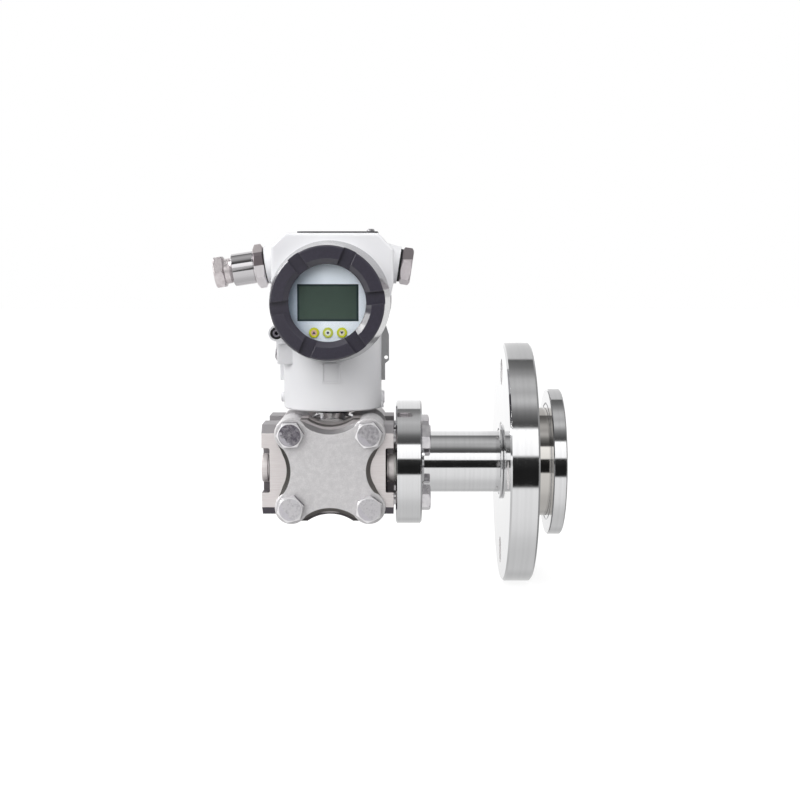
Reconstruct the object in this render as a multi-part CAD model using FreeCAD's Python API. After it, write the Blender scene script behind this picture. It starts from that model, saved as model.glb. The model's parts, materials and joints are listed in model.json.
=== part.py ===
import FreeCAD, Part
import math
import os

# Differential pressure transmitter with a direct-mounted flanged seal.
# Millimetres. Origin: centre of the seal's gasket face. +X points into the
# process, -Y is the display side, +Z is up.

V = FreeCAD.Vector

# ---- driving dimensions ----------------------------------------------------
FIT = 0.05                 # radial play between parts screwed or pressed home
RUN = 0.08                 # radial play of parts that turn or slide
GAP = 0.30                 # free gap between faces that move past each other

MODULE_X = -157.0          # vertical axis of the sensor module and housing

# seal and process flange
SEAL_DISC_R = 50.4
SEAL_DISC_T = 9.1
SEAL_GROOVE_R = 39.6
SEAL_GROOVE_W = 1.4
SEAL_GROOVE_D = 0.9
HUB_R = 37.5
HUB_LEFT_X = -21.0
SPIGOT_R = 26.0
FLANGE_OD = 165.0
FLANGE_T = 19.0
FLANGE_PCD = 125.0
FLANGE_HOLE_D = 18.0
FLANGE_HOLES = 4
FLANGE_EDGE = 1.2
FLANGE_BORE_EDGE = 1.6
DIAPHRAGM_R = 29.5
DIAPHRAGM_T = 0.25
DIAPHRAGM_DEPTH = 1.3
DIAPHRAGM_RIPPLES = 6

# tube between adapter and seal
TUBE_R = 21.2
TUBE_BORE_R = 17.6
TUBE_SOCKET = 4.0
SEAL_SOCKET = 8.5
WELD = 1.6
CAPILLARY_R = 1.5
CAPILLARY_BORE_R = 0.8
CAPILLARY_SOCKET = 8.0

# adapter plate on the module
ADAPTER_R = 42.9
ADAPTER_LEFT_X = -113.4
ADAPTER_T = 17.7
ADAPTER_EDGE = 1.0
ADAPTER_PASSAGE_X = -105.0
ADAPTER_PASSAGE_R = 1.2
ADAPTER_PORT_R = 2.5
PORT_GASKET_R = 9.4
PORT_GASKET_HOLE_R = 6.0
PORT_PITCH_Y = 54.0        # IEC 61518 pattern
PORT_BOLT_PITCH_Z = 41.3
PORT_BOLT_R = 4.95
PORT_BOLT_HOLE_R = 5.5
PORT_TAP_R = 4.95          # tapping bore of the four threads on the open side
PORT_BOLT_AF = 15.6
PORT_BOLT_HEAD = 5.8
PORT_THREAD_DEPTH = 10.6
PORT_BOLT_GRIP = 9.8

# process flange castings of the module
EAR_LEFT = 45.5            # ear length on the open side, from the module axis
EAR_RIGHT = 42.2           # ear length on the adapter side
EAR_FRONT_Y = 42.1
EAR_HALF_Z = 30.2
EAR_BEVEL = 5.5
CASTING_INNER_Y = 14.0
LOBE_FRONT_Y = 46.0
LOBE_R = 10.9
LOBE_EDGE = 1.2
BOLT_X = 25.9
BOLT_Z = 24.7
WAIST_Z = 25.3             # half width between two lobes, above and below
WAIST_LEFT = 26.8
WAIST_RIGHT = 24.6
WAIST_SLOPE = 2.2          # run-out of the sloping wall in the four hollows
LEDGE = 1.65               # flat ledge behind that slope, above and below
BODY_HALF_Z = 33.9         # cast body behind the lobed plate
NOTCH_HALF_Z = 14.9
NOTCH_DEPTH = 5.3
NOTCH_FLOOR_Y = 29.5
NOTCH_CORNER_R = 1.2
BOSS_R = 9.8
BOSS_STAND = 0.7           # the port boss stands past the end of the ear
BOSS_PLATE = 4.0
BOSS_UNDERCUT = 0.9
PORT_R = 5.7
PORT_DEPTH = 17.0
PASSAGE_R = 3.0
FLANGE_BOLT_R = 5.0
FLANGE_BOLT_HOLE_R = 5.3
FLANGE_BOLT_AF = 16.0
FLANGE_BOLT_HEAD = 6.4
FLANGE_NUT_H = 8.0
FLANGE_BOLT_END = 2.6
BOLT_TURNS = {(-1, 1): 2.0, (1, 1): 9.0, (-1, -1): 14.0, (1, -1): 24.0}

# sensor capsule
CAPSULE_R = 34.8
CAPSULE_STEP = 3.5
CAPSULE_BAND_Y = 7.0
SCALLOP_R = 5.7
ISO_RECESS_R = 23.5
ISO_RECESS_D = 1.4
ISO_RIPPLES = 5
CAP_GROOVE_IN = 25.4
CAP_GROOVE_OUT = 28.4
CAP_GROOVE_D = 1.6
NECK_R = 11.0
NECK_TOP_Z = 56.0
NECK_GROOVE_R = 9.6
NECK_GROOVE_Z = 45.2
NECK_GROOVE_H = 6.4
NECK_RING_R = 12.8
NECK_SOCKET_R = 5.0
NECK_SOCKET = 8.0

# electronics housing
HOUSING_BOTTOM_Z = 38.2
HOUSING_FLOOR_TOP = 51.0
HOUSING_NECK_R = 33.7
HOUSING_FOOT_EDGE = 0.8
HOUSING_NECK_CAVITY_R = 27.0
HOUSING_NECK_CAVITY_TOP = 70.0
NECK_FLAT_Z = 70.8
BARREL_Z = 111.7
BARREL_R = 39.2
BARREL_END_Y = 33.2
COVER_BORE_R = 35.5
COVER_BORE_DEPTH = 15.0
CHAMBER_R = 33.0
WIRE_WAY_R = 4.0
WALL_FRONT_Y = -14.0
WALL_REAR_Y = -8.0
BOX_TOP_Z = 157.2
BOX_LEFT = 39.5            # sides of the box, from the module axis
BOX_RIGHT = 42.1
BOX_TOP_LEFT = 30.2
BOX_TOP_RIGHT = 32.0
BOX_SHOULDER_LEFT_Z = 148.2
BOX_SHOULDER_RIGHT_Z = 146.5
BOX_HIP_Z = 124.0          # below this the sides run in to the barrel
BOX_HALF_Y = 28.0
BOX_EDGE = 2.0
ENTRY_LEFT_X = 45.0
ENTRY_RIGHT_X = 45.7
CONDUIT_Z = 135.9
CONDUIT_TILT = 8.6
CONDUIT_BOSS_R = 12.8
CONDUIT_BORE_R = 9.1
CONDUIT_SHOULDER = 2.6
CONDUIT_ROOT = 22.0
FIN_T = 3.2
FIN_X = 38.9
FIN_FOOT_X = 36.2
FIN_HOLE_X = 36.9
FIN_HOLE_Z = 72.6
FIN_HOLE_R = 1.35
FRAME_LEFT = 5.8           # plain cast frame on the front of the neck
FRAME_RIGHT = 6.9
FRAME_FOOT_Z = 57.9
FRAME_TOP_Z = 70.0
FRAME_RIB = 1.2
FRAME_STAND = 0.9
EARTH_Z = 76.0
EARTH_Y = 16.0
EARTH_BOSS_X = 36.6
EARTH_PAD_W = 11.0
EARTH_PAD_H = 13.5
EARTH_SCREW_R = 2.0
EARTH_CLAMP_R = 4.6
EARTH_CLAMP_T = 0.6
EARTH_HEAD_R = 3.4
EARTH_HEAD = 0.9
LOCK_X = 36.0
LOCK_Z = 90.6
LOCK_BOSS_R = 5.4
LOCK_FACE_Y = 30.4
LOCK_COUNTERBORE_R = 4.1
LOCK_COUNTERBORE = 3.4
LOCK_HEAD_R = 2.9
LOCK_SCREW_R = 2.0
LOCK_SCREW_LEN = 12.0
SET_SCREW_R = 2.5
SET_SCREW_LEN = 9.0
SET_BOSS_X = 35.7
SET_BOSS_LEFT_R = 3.4
SET_BOSS_RIGHT_R = 4.5

# covers
COVER_SKIRT_R = 40.3
COVER_FRONT_R = 36.8
COVER_FRONT_Y = 69.0
REAR_COVER_Y = 50.0
COVER_SPIGOT = 12.4
COVER_SPIGOT_WALL = 3.9
COVER_NOTCH_W = 8.3
COVER_NOTCH_D = 3.6
COVER_NOTCH_TURN = 6.0
BEVEL_OUT_R = 28.4
BEVEL_IN_R = 25.2
WINDOW_R = 24.8
GLASS_R = 29.0
GLASS_T = 4.8
GLASS_FRONT_Y = 64.3
GASKET_T = 0.5
RETAINER_T = 2.0
RETAINER_IN_R = 26.2
SEAL_RING_W = 2.6
SEAL_RING_D = 1.9

# display unit
FACE_Y = 56.9
FACE_T = 1.2
FACE_R = 28.2
CASE_R = 30.0
CASE_BACK_Y = 45.0
POCKET_Y = 51.0
LCD_W = 39.5
LCD_H = 23.8
KEY_R = 3.3
KEY_PITCH = 9.0
KEY_DROP = 19.3
KEY_FRONT_Y = 57.9
KEY_FLOOR = 1.2

# terminal compartment
TERMINAL_HALF_X = 21.0
TERMINAL_T = 13.0
TERMINAL_BELOW = 18.0      # from the barrel's axis down
TERMINAL_ABOVE = 8.0
TERMINAL_PITCH = 13.0
TERMINAL_SLOT = 9.6
TERMINAL_FLOOR = 8.0
TERMINAL_SCREW_R = 1.5
TERMINAL_HEAD_R = 3.2

# conduit fittings (lengths along the tilted entry axis)
PLUG_GASKET_T = 1.4
PLUG_GASKET_R = 11.2
PLUG_AF = 22.8
PLUG_HEAD = 7.5
ENTRY_THREAD_R = CONDUIT_BORE_R - FIT
ENTRY_THREAD_LEN = 15.0
GLAND_GASKET_T = 0.7
GLAND_GASKET_R = 11.9
GLAND_AF = 26.0
GLAND_HEX = 7.0
GLAND_BODY_R = 11.1
GLAND_BODY_LEN = 15.6
GLAND_RELIEF = 0.7
GLAND_SPIGOT_R = 6.9
GLAND_BORE_R = 4.6
GLAND_SEAL_WALL = 1.0
GLAND_SEAL_DEPTH = 8.0
GLAND_NUT_NECK_R = 8.6
GLAND_NUT_NECK_LEN = 5.1
GLAND_NUT_AF = 20.6
GLAND_NUT_LEN = 7.1
GLAND_NUT_LIP_R = 3.6

# swivelling plate on top
PLATE_LEFT = -22.6
PLATE_RIGHT = 31.6
PLATE_HALF_Y = 21.0
PLATE_T = 0.9
PLATE_CORNER_R = 3.0
PLATE_SCREW_X = 26.4
PLATE_SCREW_R = 1.5
PLATE_SCREW_HEAD_R = 2.7
PLATE_SCREW_HEAD = 1.9
PLATE_SCREW_LEN = 6.0


# ---- helpers ---------------------------------------------------------------
X_AXIS = V(1, 0, 0)
Y_AXIS = V(0, 1, 0)
Z_AXIS = V(0, 0, 1)


def sound(shape):
    """Closed solid with its skin facing outwards."""
    if shape.Volume < 0:
        shape = shape.reversed()
    return shape


def turned(origin, axis, points):
    """Turned piece: points are (distance along the axis, radius)."""
    axis = V(axis).normalize()
    side = V(0, 0, 1) if abs(axis.z) < 0.9 else V(1, 0, 0)
    side = (side - axis * side.dot(axis)).normalize()
    corners = [origin + axis * a + side * r for a, r in points]
    face = Part.Face(Part.makePolygon(corners + [corners[0]]))
    return sound(face.revolve(origin, axis, 360))


def rod(origin, axis, start, end, radius):
    axis = V(axis).normalize()
    return Part.makeCylinder(radius, end - start, origin + axis * start, axis)


def ring(origin, axis, start, end, outer, inner):
    return rod(origin, axis, start, end, outer).cut(
        rod(origin, axis, start - 1, end + 1, inner))


def block(x0, x1, y0, y1, z0, z1):
    return Part.makeBox(x1 - x0, y1 - y0, z1 - z0, V(x0, y0, z0))


def hexagon(origin, axis, start, end, flats, turn=0.0, round_start=False, round_end=True):
    """Hexagonal prism whose corners are turned round at the ends."""
    axis = V(axis).normalize()
    side = V(1, 0, 0) if abs(axis.x) < 0.9 else V(0, 1, 0)
    side = (side - axis * side.dot(axis)).normalize()
    other = axis.cross(side)
    corner = flats / math.sqrt(3)
    base = origin + axis * start
    corners = []
    for k in range(6):
        a = math.radians(turn + 60 * k)
        corners.append(base + side * (corner * math.cos(a)) + other * (corner * math.sin(a)))
    prism = Part.Face(Part.makePolygon(corners + [corners[0]])).extrude(axis * (end - start))
    land = flats / 2 * 0.95
    drop = (corner - land) * math.tan(math.radians(30))
    points = [(start, 0)]
    points += [(start, land), (start + drop, corner + 0.01)] if round_start else [(start, corner + 0.01)]
    points += [(end - drop, corner + 0.01), (end, land)] if round_end else [(end, corner + 0.01)]
    points += [(end, 0)]
    return sound(prism).common(turned(origin, axis, points))


def rippled_disc(origin, axis, radius, thickness, ripples, height):
    """Thin convoluted metal diaphragm with a flat rim lying on its seat."""
    rim = radius * 0.12
    step = (radius - rim) / (2 * ripples + 1)
    front = [(0.0, radius), (0.0, radius - rim)]
    for k in range(2 * ripples):
        front.append((height if k % 2 == 0 else 0.12 * height, radius - rim - step * (k + 1)))
    front.append((height * 0.5, 0.0))
    back = [(a + thickness, r) for a, r in reversed(front)]
    return turned(origin, axis, front + back)


def mirrored(shape):
    """The same piece on the rear side."""
    return shape.mirror(V(0, 0, 0), Y_AXIS)


def joined(first, *others):
    shape = first
    for other in others:
        shape = shape.fuse(other)
    return shape.removeSplitter()


def drilled(shape, *tools):
    for tool in tools:
        shape = shape.cut(tool)
    return shape


os.makedirs("parts", exist_ok=True)


def save(name, *solids):
    shape = solids[0] if len(solids) == 1 else Part.makeCompound(list(solids))
    shape.exportStep("parts/" + name + ".step")


SEAL = V(0, 0, 0)
MODULE = V(MODULE_X, 0, 0)
BARREL = V(MODULE_X, 0, BARREL_Z)
ADAPTER_RIGHT_X = ADAPTER_LEFT_X + ADAPTER_T
FLANGE_RIGHT_X = HUB_LEFT_X - GAP
FLANGE_LEFT_X = FLANGE_RIGHT_X - FLANGE_T
PORT_Y = PORT_PITCH_Y / 2
PORT_BOLT_Z = PORT_BOLT_PITCH_Z / 2

# ---- diaphragm seal --------------------------------------------------------
# Turned seal body: gasket disc, hub that bears on the flange, and the spigot
# the flange turns on. The tube is welded into its left end.
spigot_left = FLANGE_LEFT_X - 0.2
seal = turned(SEAL, X_AXIS, [
    (spigot_left, TUBE_R + FIT), (spigot_left, SPIGOT_R - 0.6), (spigot_left + 0.6, SPIGOT_R),
    (HUB_LEFT_X, SPIGOT_R), (HUB_LEFT_X, HUB_R - 0.6), (HUB_LEFT_X + 0.6, HUB_R),
    (-SEAL_DISC_T, HUB_R),
    (-SEAL_DISC_T, SEAL_GROOVE_R), (-SEAL_DISC_T + SEAL_GROOVE_D, SEAL_GROOVE_R),
    (-SEAL_DISC_T + SEAL_GROOVE_D, SEAL_GROOVE_R + SEAL_GROOVE_W),
    (-SEAL_DISC_T, SEAL_GROOVE_R + SEAL_GROOVE_W),
    (-SEAL_DISC_T, SEAL_DISC_R - 0.7), (-SEAL_DISC_T + 0.7, SEAL_DISC_R),
    (-0.7, SEAL_DISC_R), (0, SEAL_DISC_R - 0.7),
    (0, DIAPHRAGM_R + 0.1), (-DIAPHRAGM_DEPTH, DIAPHRAGM_R + 0.1),
    (-DIAPHRAGM_DEPTH, 0.9), (spigot_left + 14, 0.9), (spigot_left + 14, CAPILLARY_R + FIT),
    (spigot_left + SEAL_SOCKET, CAPILLARY_R + FIT), (spigot_left + SEAL_SOCKET, TUBE_R + FIT)])
save("seal_body", seal)

# Thin convoluted diaphragm, welded on at its rim, facing the process.
save("process_diaphragm", rippled_disc(
    V(-DIAPHRAGM_DEPTH, 0, 0), X_AXIS, DIAPHRAGM_R, DIAPHRAGM_T, DIAPHRAGM_RIPPLES, 0.7))

# Loose process flange with four through holes on the main axes.
flange_r = FLANGE_OD / 2
flange_bore_r = SPIGOT_R + RUN
flange = turned(SEAL, X_AXIS, [
    (FLANGE_LEFT_X, flange_bore_r + FLANGE_BORE_EDGE), (FLANGE_LEFT_X, flange_r - FLANGE_EDGE),
    (FLANGE_LEFT_X + FLANGE_EDGE, flange_r), (FLANGE_RIGHT_X - FLANGE_EDGE, flange_r),
    (FLANGE_RIGHT_X, flange_r - FLANGE_EDGE), (FLANGE_RIGHT_X, flange_bore_r + 0.8),
    (FLANGE_RIGHT_X - 0.8, flange_bore_r), (FLANGE_LEFT_X + FLANGE_BORE_EDGE, flange_bore_r)])
for k in range(FLANGE_HOLES):
    turn = 2 * math.pi * k / FLANGE_HOLES
    centre = V(0, FLANGE_PCD / 2 * math.cos(turn), FLANGE_PCD / 2 * math.sin(turn))
    flange = flange.cut(rod(centre, X_AXIS, FLANGE_LEFT_X - 1, FLANGE_RIGHT_X + 1, FLANGE_HOLE_D / 2))
save("process_flange", flange)

# Tube from adapter to seal, with its weld bead at each end, and the fine
# capillary inside it that carries the fill fluid.
tube_left = ADAPTER_RIGHT_X - TUBE_SOCKET
capillary_left = ADAPTER_RIGHT_X - CAPILLARY_SOCKET
tube_right = spigot_left + SEAL_SOCKET
tube = turned(SEAL, X_AXIS, [
    (tube_left, TUBE_BORE_R), (tube_left, TUBE_R), (ADAPTER_RIGHT_X, TUBE_R),
    (ADAPTER_RIGHT_X, TUBE_R + WELD * 0.8), (ADAPTER_RIGHT_X + WELD, TUBE_R),
    (spigot_left - WELD, TUBE_R), (spigot_left, TUBE_R + WELD), (spigot_left, TUBE_R),
    (tube_right, TUBE_R), (tube_right, TUBE_BORE_R)])
save("neck_tube", tube)
save("capillary_tube", ring(
    SEAL, X_AXIS, capillary_left, spigot_left + 14, CAPILLARY_R, CAPILLARY_BORE_R))

# ---- adapter plate ---------------------------------------------------------
# Round plate bolted to both castings. A drilled passage leads from the
# capillary at its centre to the high-side port only.
adapter = turned(SEAL, X_AXIS, [
    (ADAPTER_LEFT_X, 0), (ADAPTER_LEFT_X, ADAPTER_R - ADAPTER_EDGE),
    (ADAPTER_LEFT_X + ADAPTER_EDGE, ADAPTER_R), (ADAPTER_RIGHT_X - ADAPTER_EDGE, ADAPTER_R),
    (ADAPTER_RIGHT_X, ADAPTER_R - ADAPTER_EDGE), (ADAPTER_RIGHT_X, TUBE_R + FIT),
    (tube_left, TUBE_R + FIT), (tube_left, CAPILLARY_R + FIT),
    (capillary_left, CAPILLARY_R + FIT), (capillary_left, 0)])
adapter = drilled(
    adapter,
    rod(SEAL, X_AXIS, ADAPTER_PASSAGE_X, capillary_left + 0.1, ADAPTER_PASSAGE_R),
    rod(V(ADAPTER_PASSAGE_X, 0, 0), Y_AXIS, -PORT_Y, 0, ADAPTER_PASSAGE_R),
    rod(V(0, -PORT_Y, 0), X_AXIS, ADAPTER_LEFT_X - 1, ADAPTER_PASSAGE_X, ADAPTER_PORT_R))
port_bolts = []
for sy in (-1, 1):
    for sz in (-1, 1):
        spot = V(0, sy * PORT_Y, sz * PORT_BOLT_Z)
        adapter = adapter.cut(rod(spot, X_AXIS, ADAPTER_LEFT_X - 1, ADAPTER_RIGHT_X + 1, PORT_BOLT_HOLE_R))
        head = hexagon(spot, X_AXIS, ADAPTER_RIGHT_X, ADAPTER_RIGHT_X + PORT_BOLT_HEAD,
                       PORT_BOLT_AF, 15 * sy + 8 * sz)
        shank = rod(spot, X_AXIS, MODULE_X + EAR_RIGHT - PORT_BOLT_GRIP, ADAPTER_RIGHT_X, PORT_BOLT_R)
        port_bolts.append(head.fuse(shank).removeSplitter())
save("adapter_plate", adapter)
save("adapter_bolts", *port_bolts)

# Sealing rings squeezed between the port bosses and the adapter plate.
save("port_gaskets", *[
    ring(V(0, sy * PORT_Y, 0), X_AXIS, MODULE_X + EAR_RIGHT + BOSS_STAND, ADAPTER_LEFT_X,
         PORT_GASKET_R, PORT_GASKET_HOLE_R) for sy in (-1, 1)])

# ---- process flange castings -----------------------------------------------


def hollow_radius(span, reach, waist):
    """Radius of the arc that joins two lobes at this half width."""
    return (span ** 2 + (waist - reach) ** 2 - LOBE_R ** 2) / (2 * (LOBE_R - waist + reach))


# the four hollows between the lobes: direction, half span, reach, half width
HOLLOWS = [(0, 1, BOLT_X, BOLT_Z, WAIST_Z), (-1, 0, BOLT_Z, BOLT_X, WAIST_LEFT),
           (0, -1, BOLT_X, BOLT_Z, WAIST_Z), (1, 0, BOLT_Z, BOLT_X, WAIST_RIGHT)]
LOBES = [(BOLT_X, BOLT_Z), (-BOLT_X, BOLT_Z), (-BOLT_X, -BOLT_Z), (BOLT_X, -BOLT_Z)]


def lobed_plate(extra):
    """Plate with a lobe round each bolt; its hollows are shallower by extra."""
    def point(x, z):
        return V(MODULE_X + x, -EAR_FRONT_Y, z)

    def touch(hollow_no, lobe_no):
        dx, dz, span, reach, waist = HOLLOWS[hollow_no % 4]
        radius = hollow_radius(span, reach, waist + extra)
        centre_x = dx * (waist + extra + radius)
        centre_z = dz * (waist + extra + radius)
        lx, lz = LOBES[lobe_no % 4]
        share = radius / (radius + LOBE_R)
        return point(centre_x + (lx - centre_x) * share, centre_z + (lz - centre_z) * share)

    edges = []
    for i, (lx, lz) in enumerate(LOBES):
        out = 1 + LOBE_R / math.hypot(lx, lz)
        edges.append(Part.Arc(touch(i - 1, i), point(lx * out, lz * out), touch(i, i)).toShape())
        dx, dz, span, reach, waist = HOLLOWS[i]
        middle = point(dx * (waist + extra), dz * (waist + extra))
        edges.append(Part.Arc(touch(i, i), middle, touch(i, i + 1)).toShape())
    return sound(Part.Face(Part.Wire(edges)).extrude(V(0, EAR_FRONT_Y - LOBE_FRONT_Y, 0)))


def port_boss(end_x, inward):
    """Round port boss in an ear's notch, with an undercut behind its plate."""
    return turned(V(end_x, -PORT_Y, 0), V(inward, 0, 0), [
        (-BOSS_STAND, 0), (-BOSS_STAND, BOSS_R - 0.4), (0.4 - BOSS_STAND, BOSS_R),
        (BOSS_PLATE - BOSS_STAND, BOSS_R), (BOSS_PLATE - BOSS_STAND, BOSS_R - BOSS_UNDERCUT),
        (NOTCH_DEPTH + 1, BOSS_R - BOSS_UNDERCUT), (NOTCH_DEPTH + 1, 0)])


def casting():
    """Front casting: machined ears, cast body and the lobed clamping plate."""
    left, right = MODULE_X - EAR_LEFT, MODULE_X + EAR_RIGHT
    section = [(-CASTING_INNER_Y, -EAR_HALF_Z), (-EAR_FRONT_Y + EAR_BEVEL, -EAR_HALF_Z),
               (-EAR_FRONT_Y, -EAR_HALF_Z + EAR_BEVEL), (-EAR_FRONT_Y, EAR_HALF_Z - EAR_BEVEL),
               (-EAR_FRONT_Y + EAR_BEVEL, EAR_HALF_Z), (-CASTING_INNER_Y, EAR_HALF_Z)]
    corners = [V(left, y, z) for y, z in section]
    body = sound(Part.Face(Part.makePolygon(corners + [corners[0]])).extrude(V(right - left, 0, 0)))
    # notch from the front in the end of each ear, round the port boss
    for x, turn in ((left, 1), (right, -1)):
        wall = x + turn * NOTCH_DEPTH
        notch = block(min(x - turn, wall), max(x - turn, wall), -EAR_FRONT_Y - 1, -NOTCH_FLOOR_Y,
                      -NOTCH_HALF_Z, NOTCH_HALF_Z)
        notch = notch.makeFillet(NOTCH_CORNER_R, [
            e for e in notch.Edges if abs(e.BoundBox.XMin - wall) < 0.01
            and abs(e.BoundBox.XMax - wall) < 0.01 and e.BoundBox.YLength > 1])
        body = body.cut(notch).fuse(port_boss(x, turn))
    # body behind the plate, with a round column at each bolt
    body = body.fuse(block(MODULE_X - BOLT_X, MODULE_X + BOLT_X, -EAR_FRONT_Y, -CASTING_INNER_Y,
                           -BODY_HALF_Z, BODY_HALF_Z))
    scoop_r = hollow_radius(BOLT_X, BOLT_Z, WAIST_Z)
    scoop_z = WAIST_Z + WAIST_SLOPE + LEDGE + scoop_r
    for sz in (-1, 1):
        body = body.cut(rod(V(MODULE_X, 0, sz * scoop_z), Y_AXIS,
                            -EAR_FRONT_Y - 1, -CASTING_INNER_Y + 1, scoop_r))
    for lx, lz in LOBES:
        body = body.fuse(rod(V(MODULE_X + lx, 0, lz), Y_AXIS, -EAR_FRONT_Y, -CASTING_INNER_Y, LOBE_R))
    # lobed plate: rounded rim, and a sloping foot in each hollow
    plate = lobed_plate(0.0)
    plate = plate.makeFillet(LOBE_EDGE, [
        e for e in plate.Edges if e.BoundBox.YMax < -LOBE_FRONT_Y + 0.01])
    wider = lobed_plate(WAIST_SLOPE + 1.0)
    slope_top = LOBE_FRONT_Y - LOBE_EDGE - 0.2
    bite = 0.4
    lean = WAIST_SLOPE / (slope_top - EAR_FRONT_Y)
    for dx, dz, span, reach, waist in HOLLOWS:
        radius = hollow_radius(span, reach, waist)
        centre = V(MODULE_X + dx * (waist + radius), 0, dz * (waist + radius))
        foot = turned(centre, -Y_AXIS, [
            (EAR_FRONT_Y, radius + bite), (EAR_FRONT_Y, radius - WAIST_SLOPE),
            (slope_top + bite / lean, radius + bite)])
        plate = plate.fuse(foot.common(wider))
    body = joined(body, plate)
    # ports, threads for the port bolts, pressure passage and bolt holes
    for x, turn, thread_r in ((left, 1, PORT_TAP_R), (right, -1, PORT_BOLT_R + FIT)):
        body = drilled(body, rod(V(x, -PORT_Y, 0), V(turn, 0, 0), -1, PORT_DEPTH, PORT_R))
        for sz in (-1, 1):
            spot = V(x, -PORT_Y, sz * PORT_BOLT_Z)
            body = drilled(body, rod(spot, V(turn, 0, 0), -1, PORT_THREAD_DEPTH, thread_r))
    body = drilled(body, rod(V(left, -PORT_Y, 0), X_AXIS, PORT_DEPTH - 1,
                             right - left - PORT_DEPTH + 1, PASSAGE_R),
                   rod(MODULE, Y_AXIS, -PORT_Y, -CASTING_INNER_Y + 1, PASSAGE_R),
                   rod(MODULE, Y_AXIS, -CASTING_INNER_Y - 1.2, -CASTING_INNER_Y + 1, ISO_RECESS_R))
    for lx, lz in LOBES:
        body = drilled(body, rod(V(MODULE_X + lx, 0, lz), Y_AXIS,
                                 -LOBE_FRONT_Y - 1, -CASTING_INNER_Y + 1, FLANGE_BOLT_HOLE_R))
    return body


front_casting = casting()
save("high_side_flange", front_casting)
save("low_side_flange", mirrored(front_casting))

# Long bolts that clamp the capsule between the castings, nuts at the rear.
long_bolts = []
long_nuts = []
for (sx, sz), turn in BOLT_TURNS.items():
    spot = V(MODULE_X + sx * BOLT_X, 0, sz * BOLT_Z)
    head = hexagon(spot, -Y_AXIS, LOBE_FRONT_Y, LOBE_FRONT_Y + FLANGE_BOLT_HEAD, FLANGE_BOLT_AF, turn)
    shank = rod(spot, Y_AXIS, -LOBE_FRONT_Y, LOBE_FRONT_Y + FLANGE_NUT_H + FLANGE_BOLT_END, FLANGE_BOLT_R)
    long_bolts.append(head.fuse(shank).removeSplitter())
    nut = hexagon(spot, Y_AXIS, LOBE_FRONT_Y, LOBE_FRONT_Y + FLANGE_NUT_H, FLANGE_BOLT_AF, turn * 2, True)
    long_nuts.append(nut.cut(rod(spot, Y_AXIS, 0, 2 * LOBE_FRONT_Y, FLANGE_BOLT_R + FIT)))
save("flange_bolts", *long_bolts)
save("flange_nuts", *long_nuts)

# Socket plug that closes the unused high-side port.
plug_x = MODULE_X - EAR_LEFT
socket = hexagon(V(plug_x, -PORT_Y, 0), X_AXIS, -1, 5.0, 6.0, 0, False, False)
side_plug = rod(V(plug_x, -PORT_Y, 0), X_AXIS, 0.4, 11.0, PORT_R - FIT).cut(socket)
save("side_plug", side_plug)

# ---- sensor capsule --------------------------------------------------------
# Stepped round cell with the screwed neck that carries the housing.
capsule_step_r = CAPSULE_R - CAPSULE_STEP
capsule = turned(MODULE, Y_AXIS, [
    (-CASTING_INNER_Y + ISO_RECESS_D, 0), (-CASTING_INNER_Y + ISO_RECESS_D, ISO_RECESS_R),
    (-CASTING_INNER_Y, ISO_RECESS_R), (-CASTING_INNER_Y, CAP_GROOVE_IN),
    (-CASTING_INNER_Y + CAP_GROOVE_D, CAP_GROOVE_IN), (-CASTING_INNER_Y + CAP_GROOVE_D, CAP_GROOVE_OUT),
    (-CASTING_INNER_Y, CAP_GROOVE_OUT), (-CASTING_INNER_Y, capsule_step_r),
    (-CAPSULE_BAND_Y, capsule_step_r), (-CAPSULE_BAND_Y, CAPSULE_R - 0.8),
    (-CAPSULE_BAND_Y + 0.8, CAPSULE_R), (CAPSULE_BAND_Y - 0.8, CAPSULE_R),
    (CAPSULE_BAND_Y, CAPSULE_R - 0.8), (CAPSULE_BAND_Y, capsule_step_r),
    (CASTING_INNER_Y, capsule_step_r), (CASTING_INNER_Y, CAP_GROOVE_OUT),
    (CASTING_INNER_Y - CAP_GROOVE_D, CAP_GROOVE_OUT), (CASTING_INNER_Y - CAP_GROOVE_D, CAP_GROOVE_IN),
    (CASTING_INNER_Y, CAP_GROOVE_IN), (CASTING_INNER_Y, ISO_RECESS_R),
    (CASTING_INNER_Y - ISO_RECESS_D, ISO_RECESS_R), (CASTING_INNER_Y - ISO_RECESS_D, 0)])
half_groove = NECK_GROOVE_H / 2
neck = turned(MODULE, Z_AXIS, [
    (20, 0), (20, NECK_R), (NECK_GROOVE_Z - half_groove, NECK_R),
    (NECK_GROOVE_Z - half_groove, NECK_GROOVE_R),
    (NECK_GROOVE_Z + half_groove, NECK_GROOVE_R), (NECK_GROOVE_Z + half_groove, NECK_R),
    (NECK_TOP_Z - 1, NECK_R), (NECK_TOP_Z, NECK_R - 1), (NECK_TOP_Z, NECK_SOCKET_R),
    (NECK_TOP_Z - NECK_SOCKET, NECK_SOCKET_R), (NECK_TOP_Z - NECK_SOCKET, 0)])
capsule = joined(capsule, neck)
for sx in (-1, 1):
    for sz in (-1, 1):
        spot = V(MODULE_X + sx * BOLT_X, 0, sz * BOLT_Z)
        capsule = capsule.cut(rod(spot, Y_AXIS, -20, 20, SCALLOP_R))
save("sensor_capsule", capsule)

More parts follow.
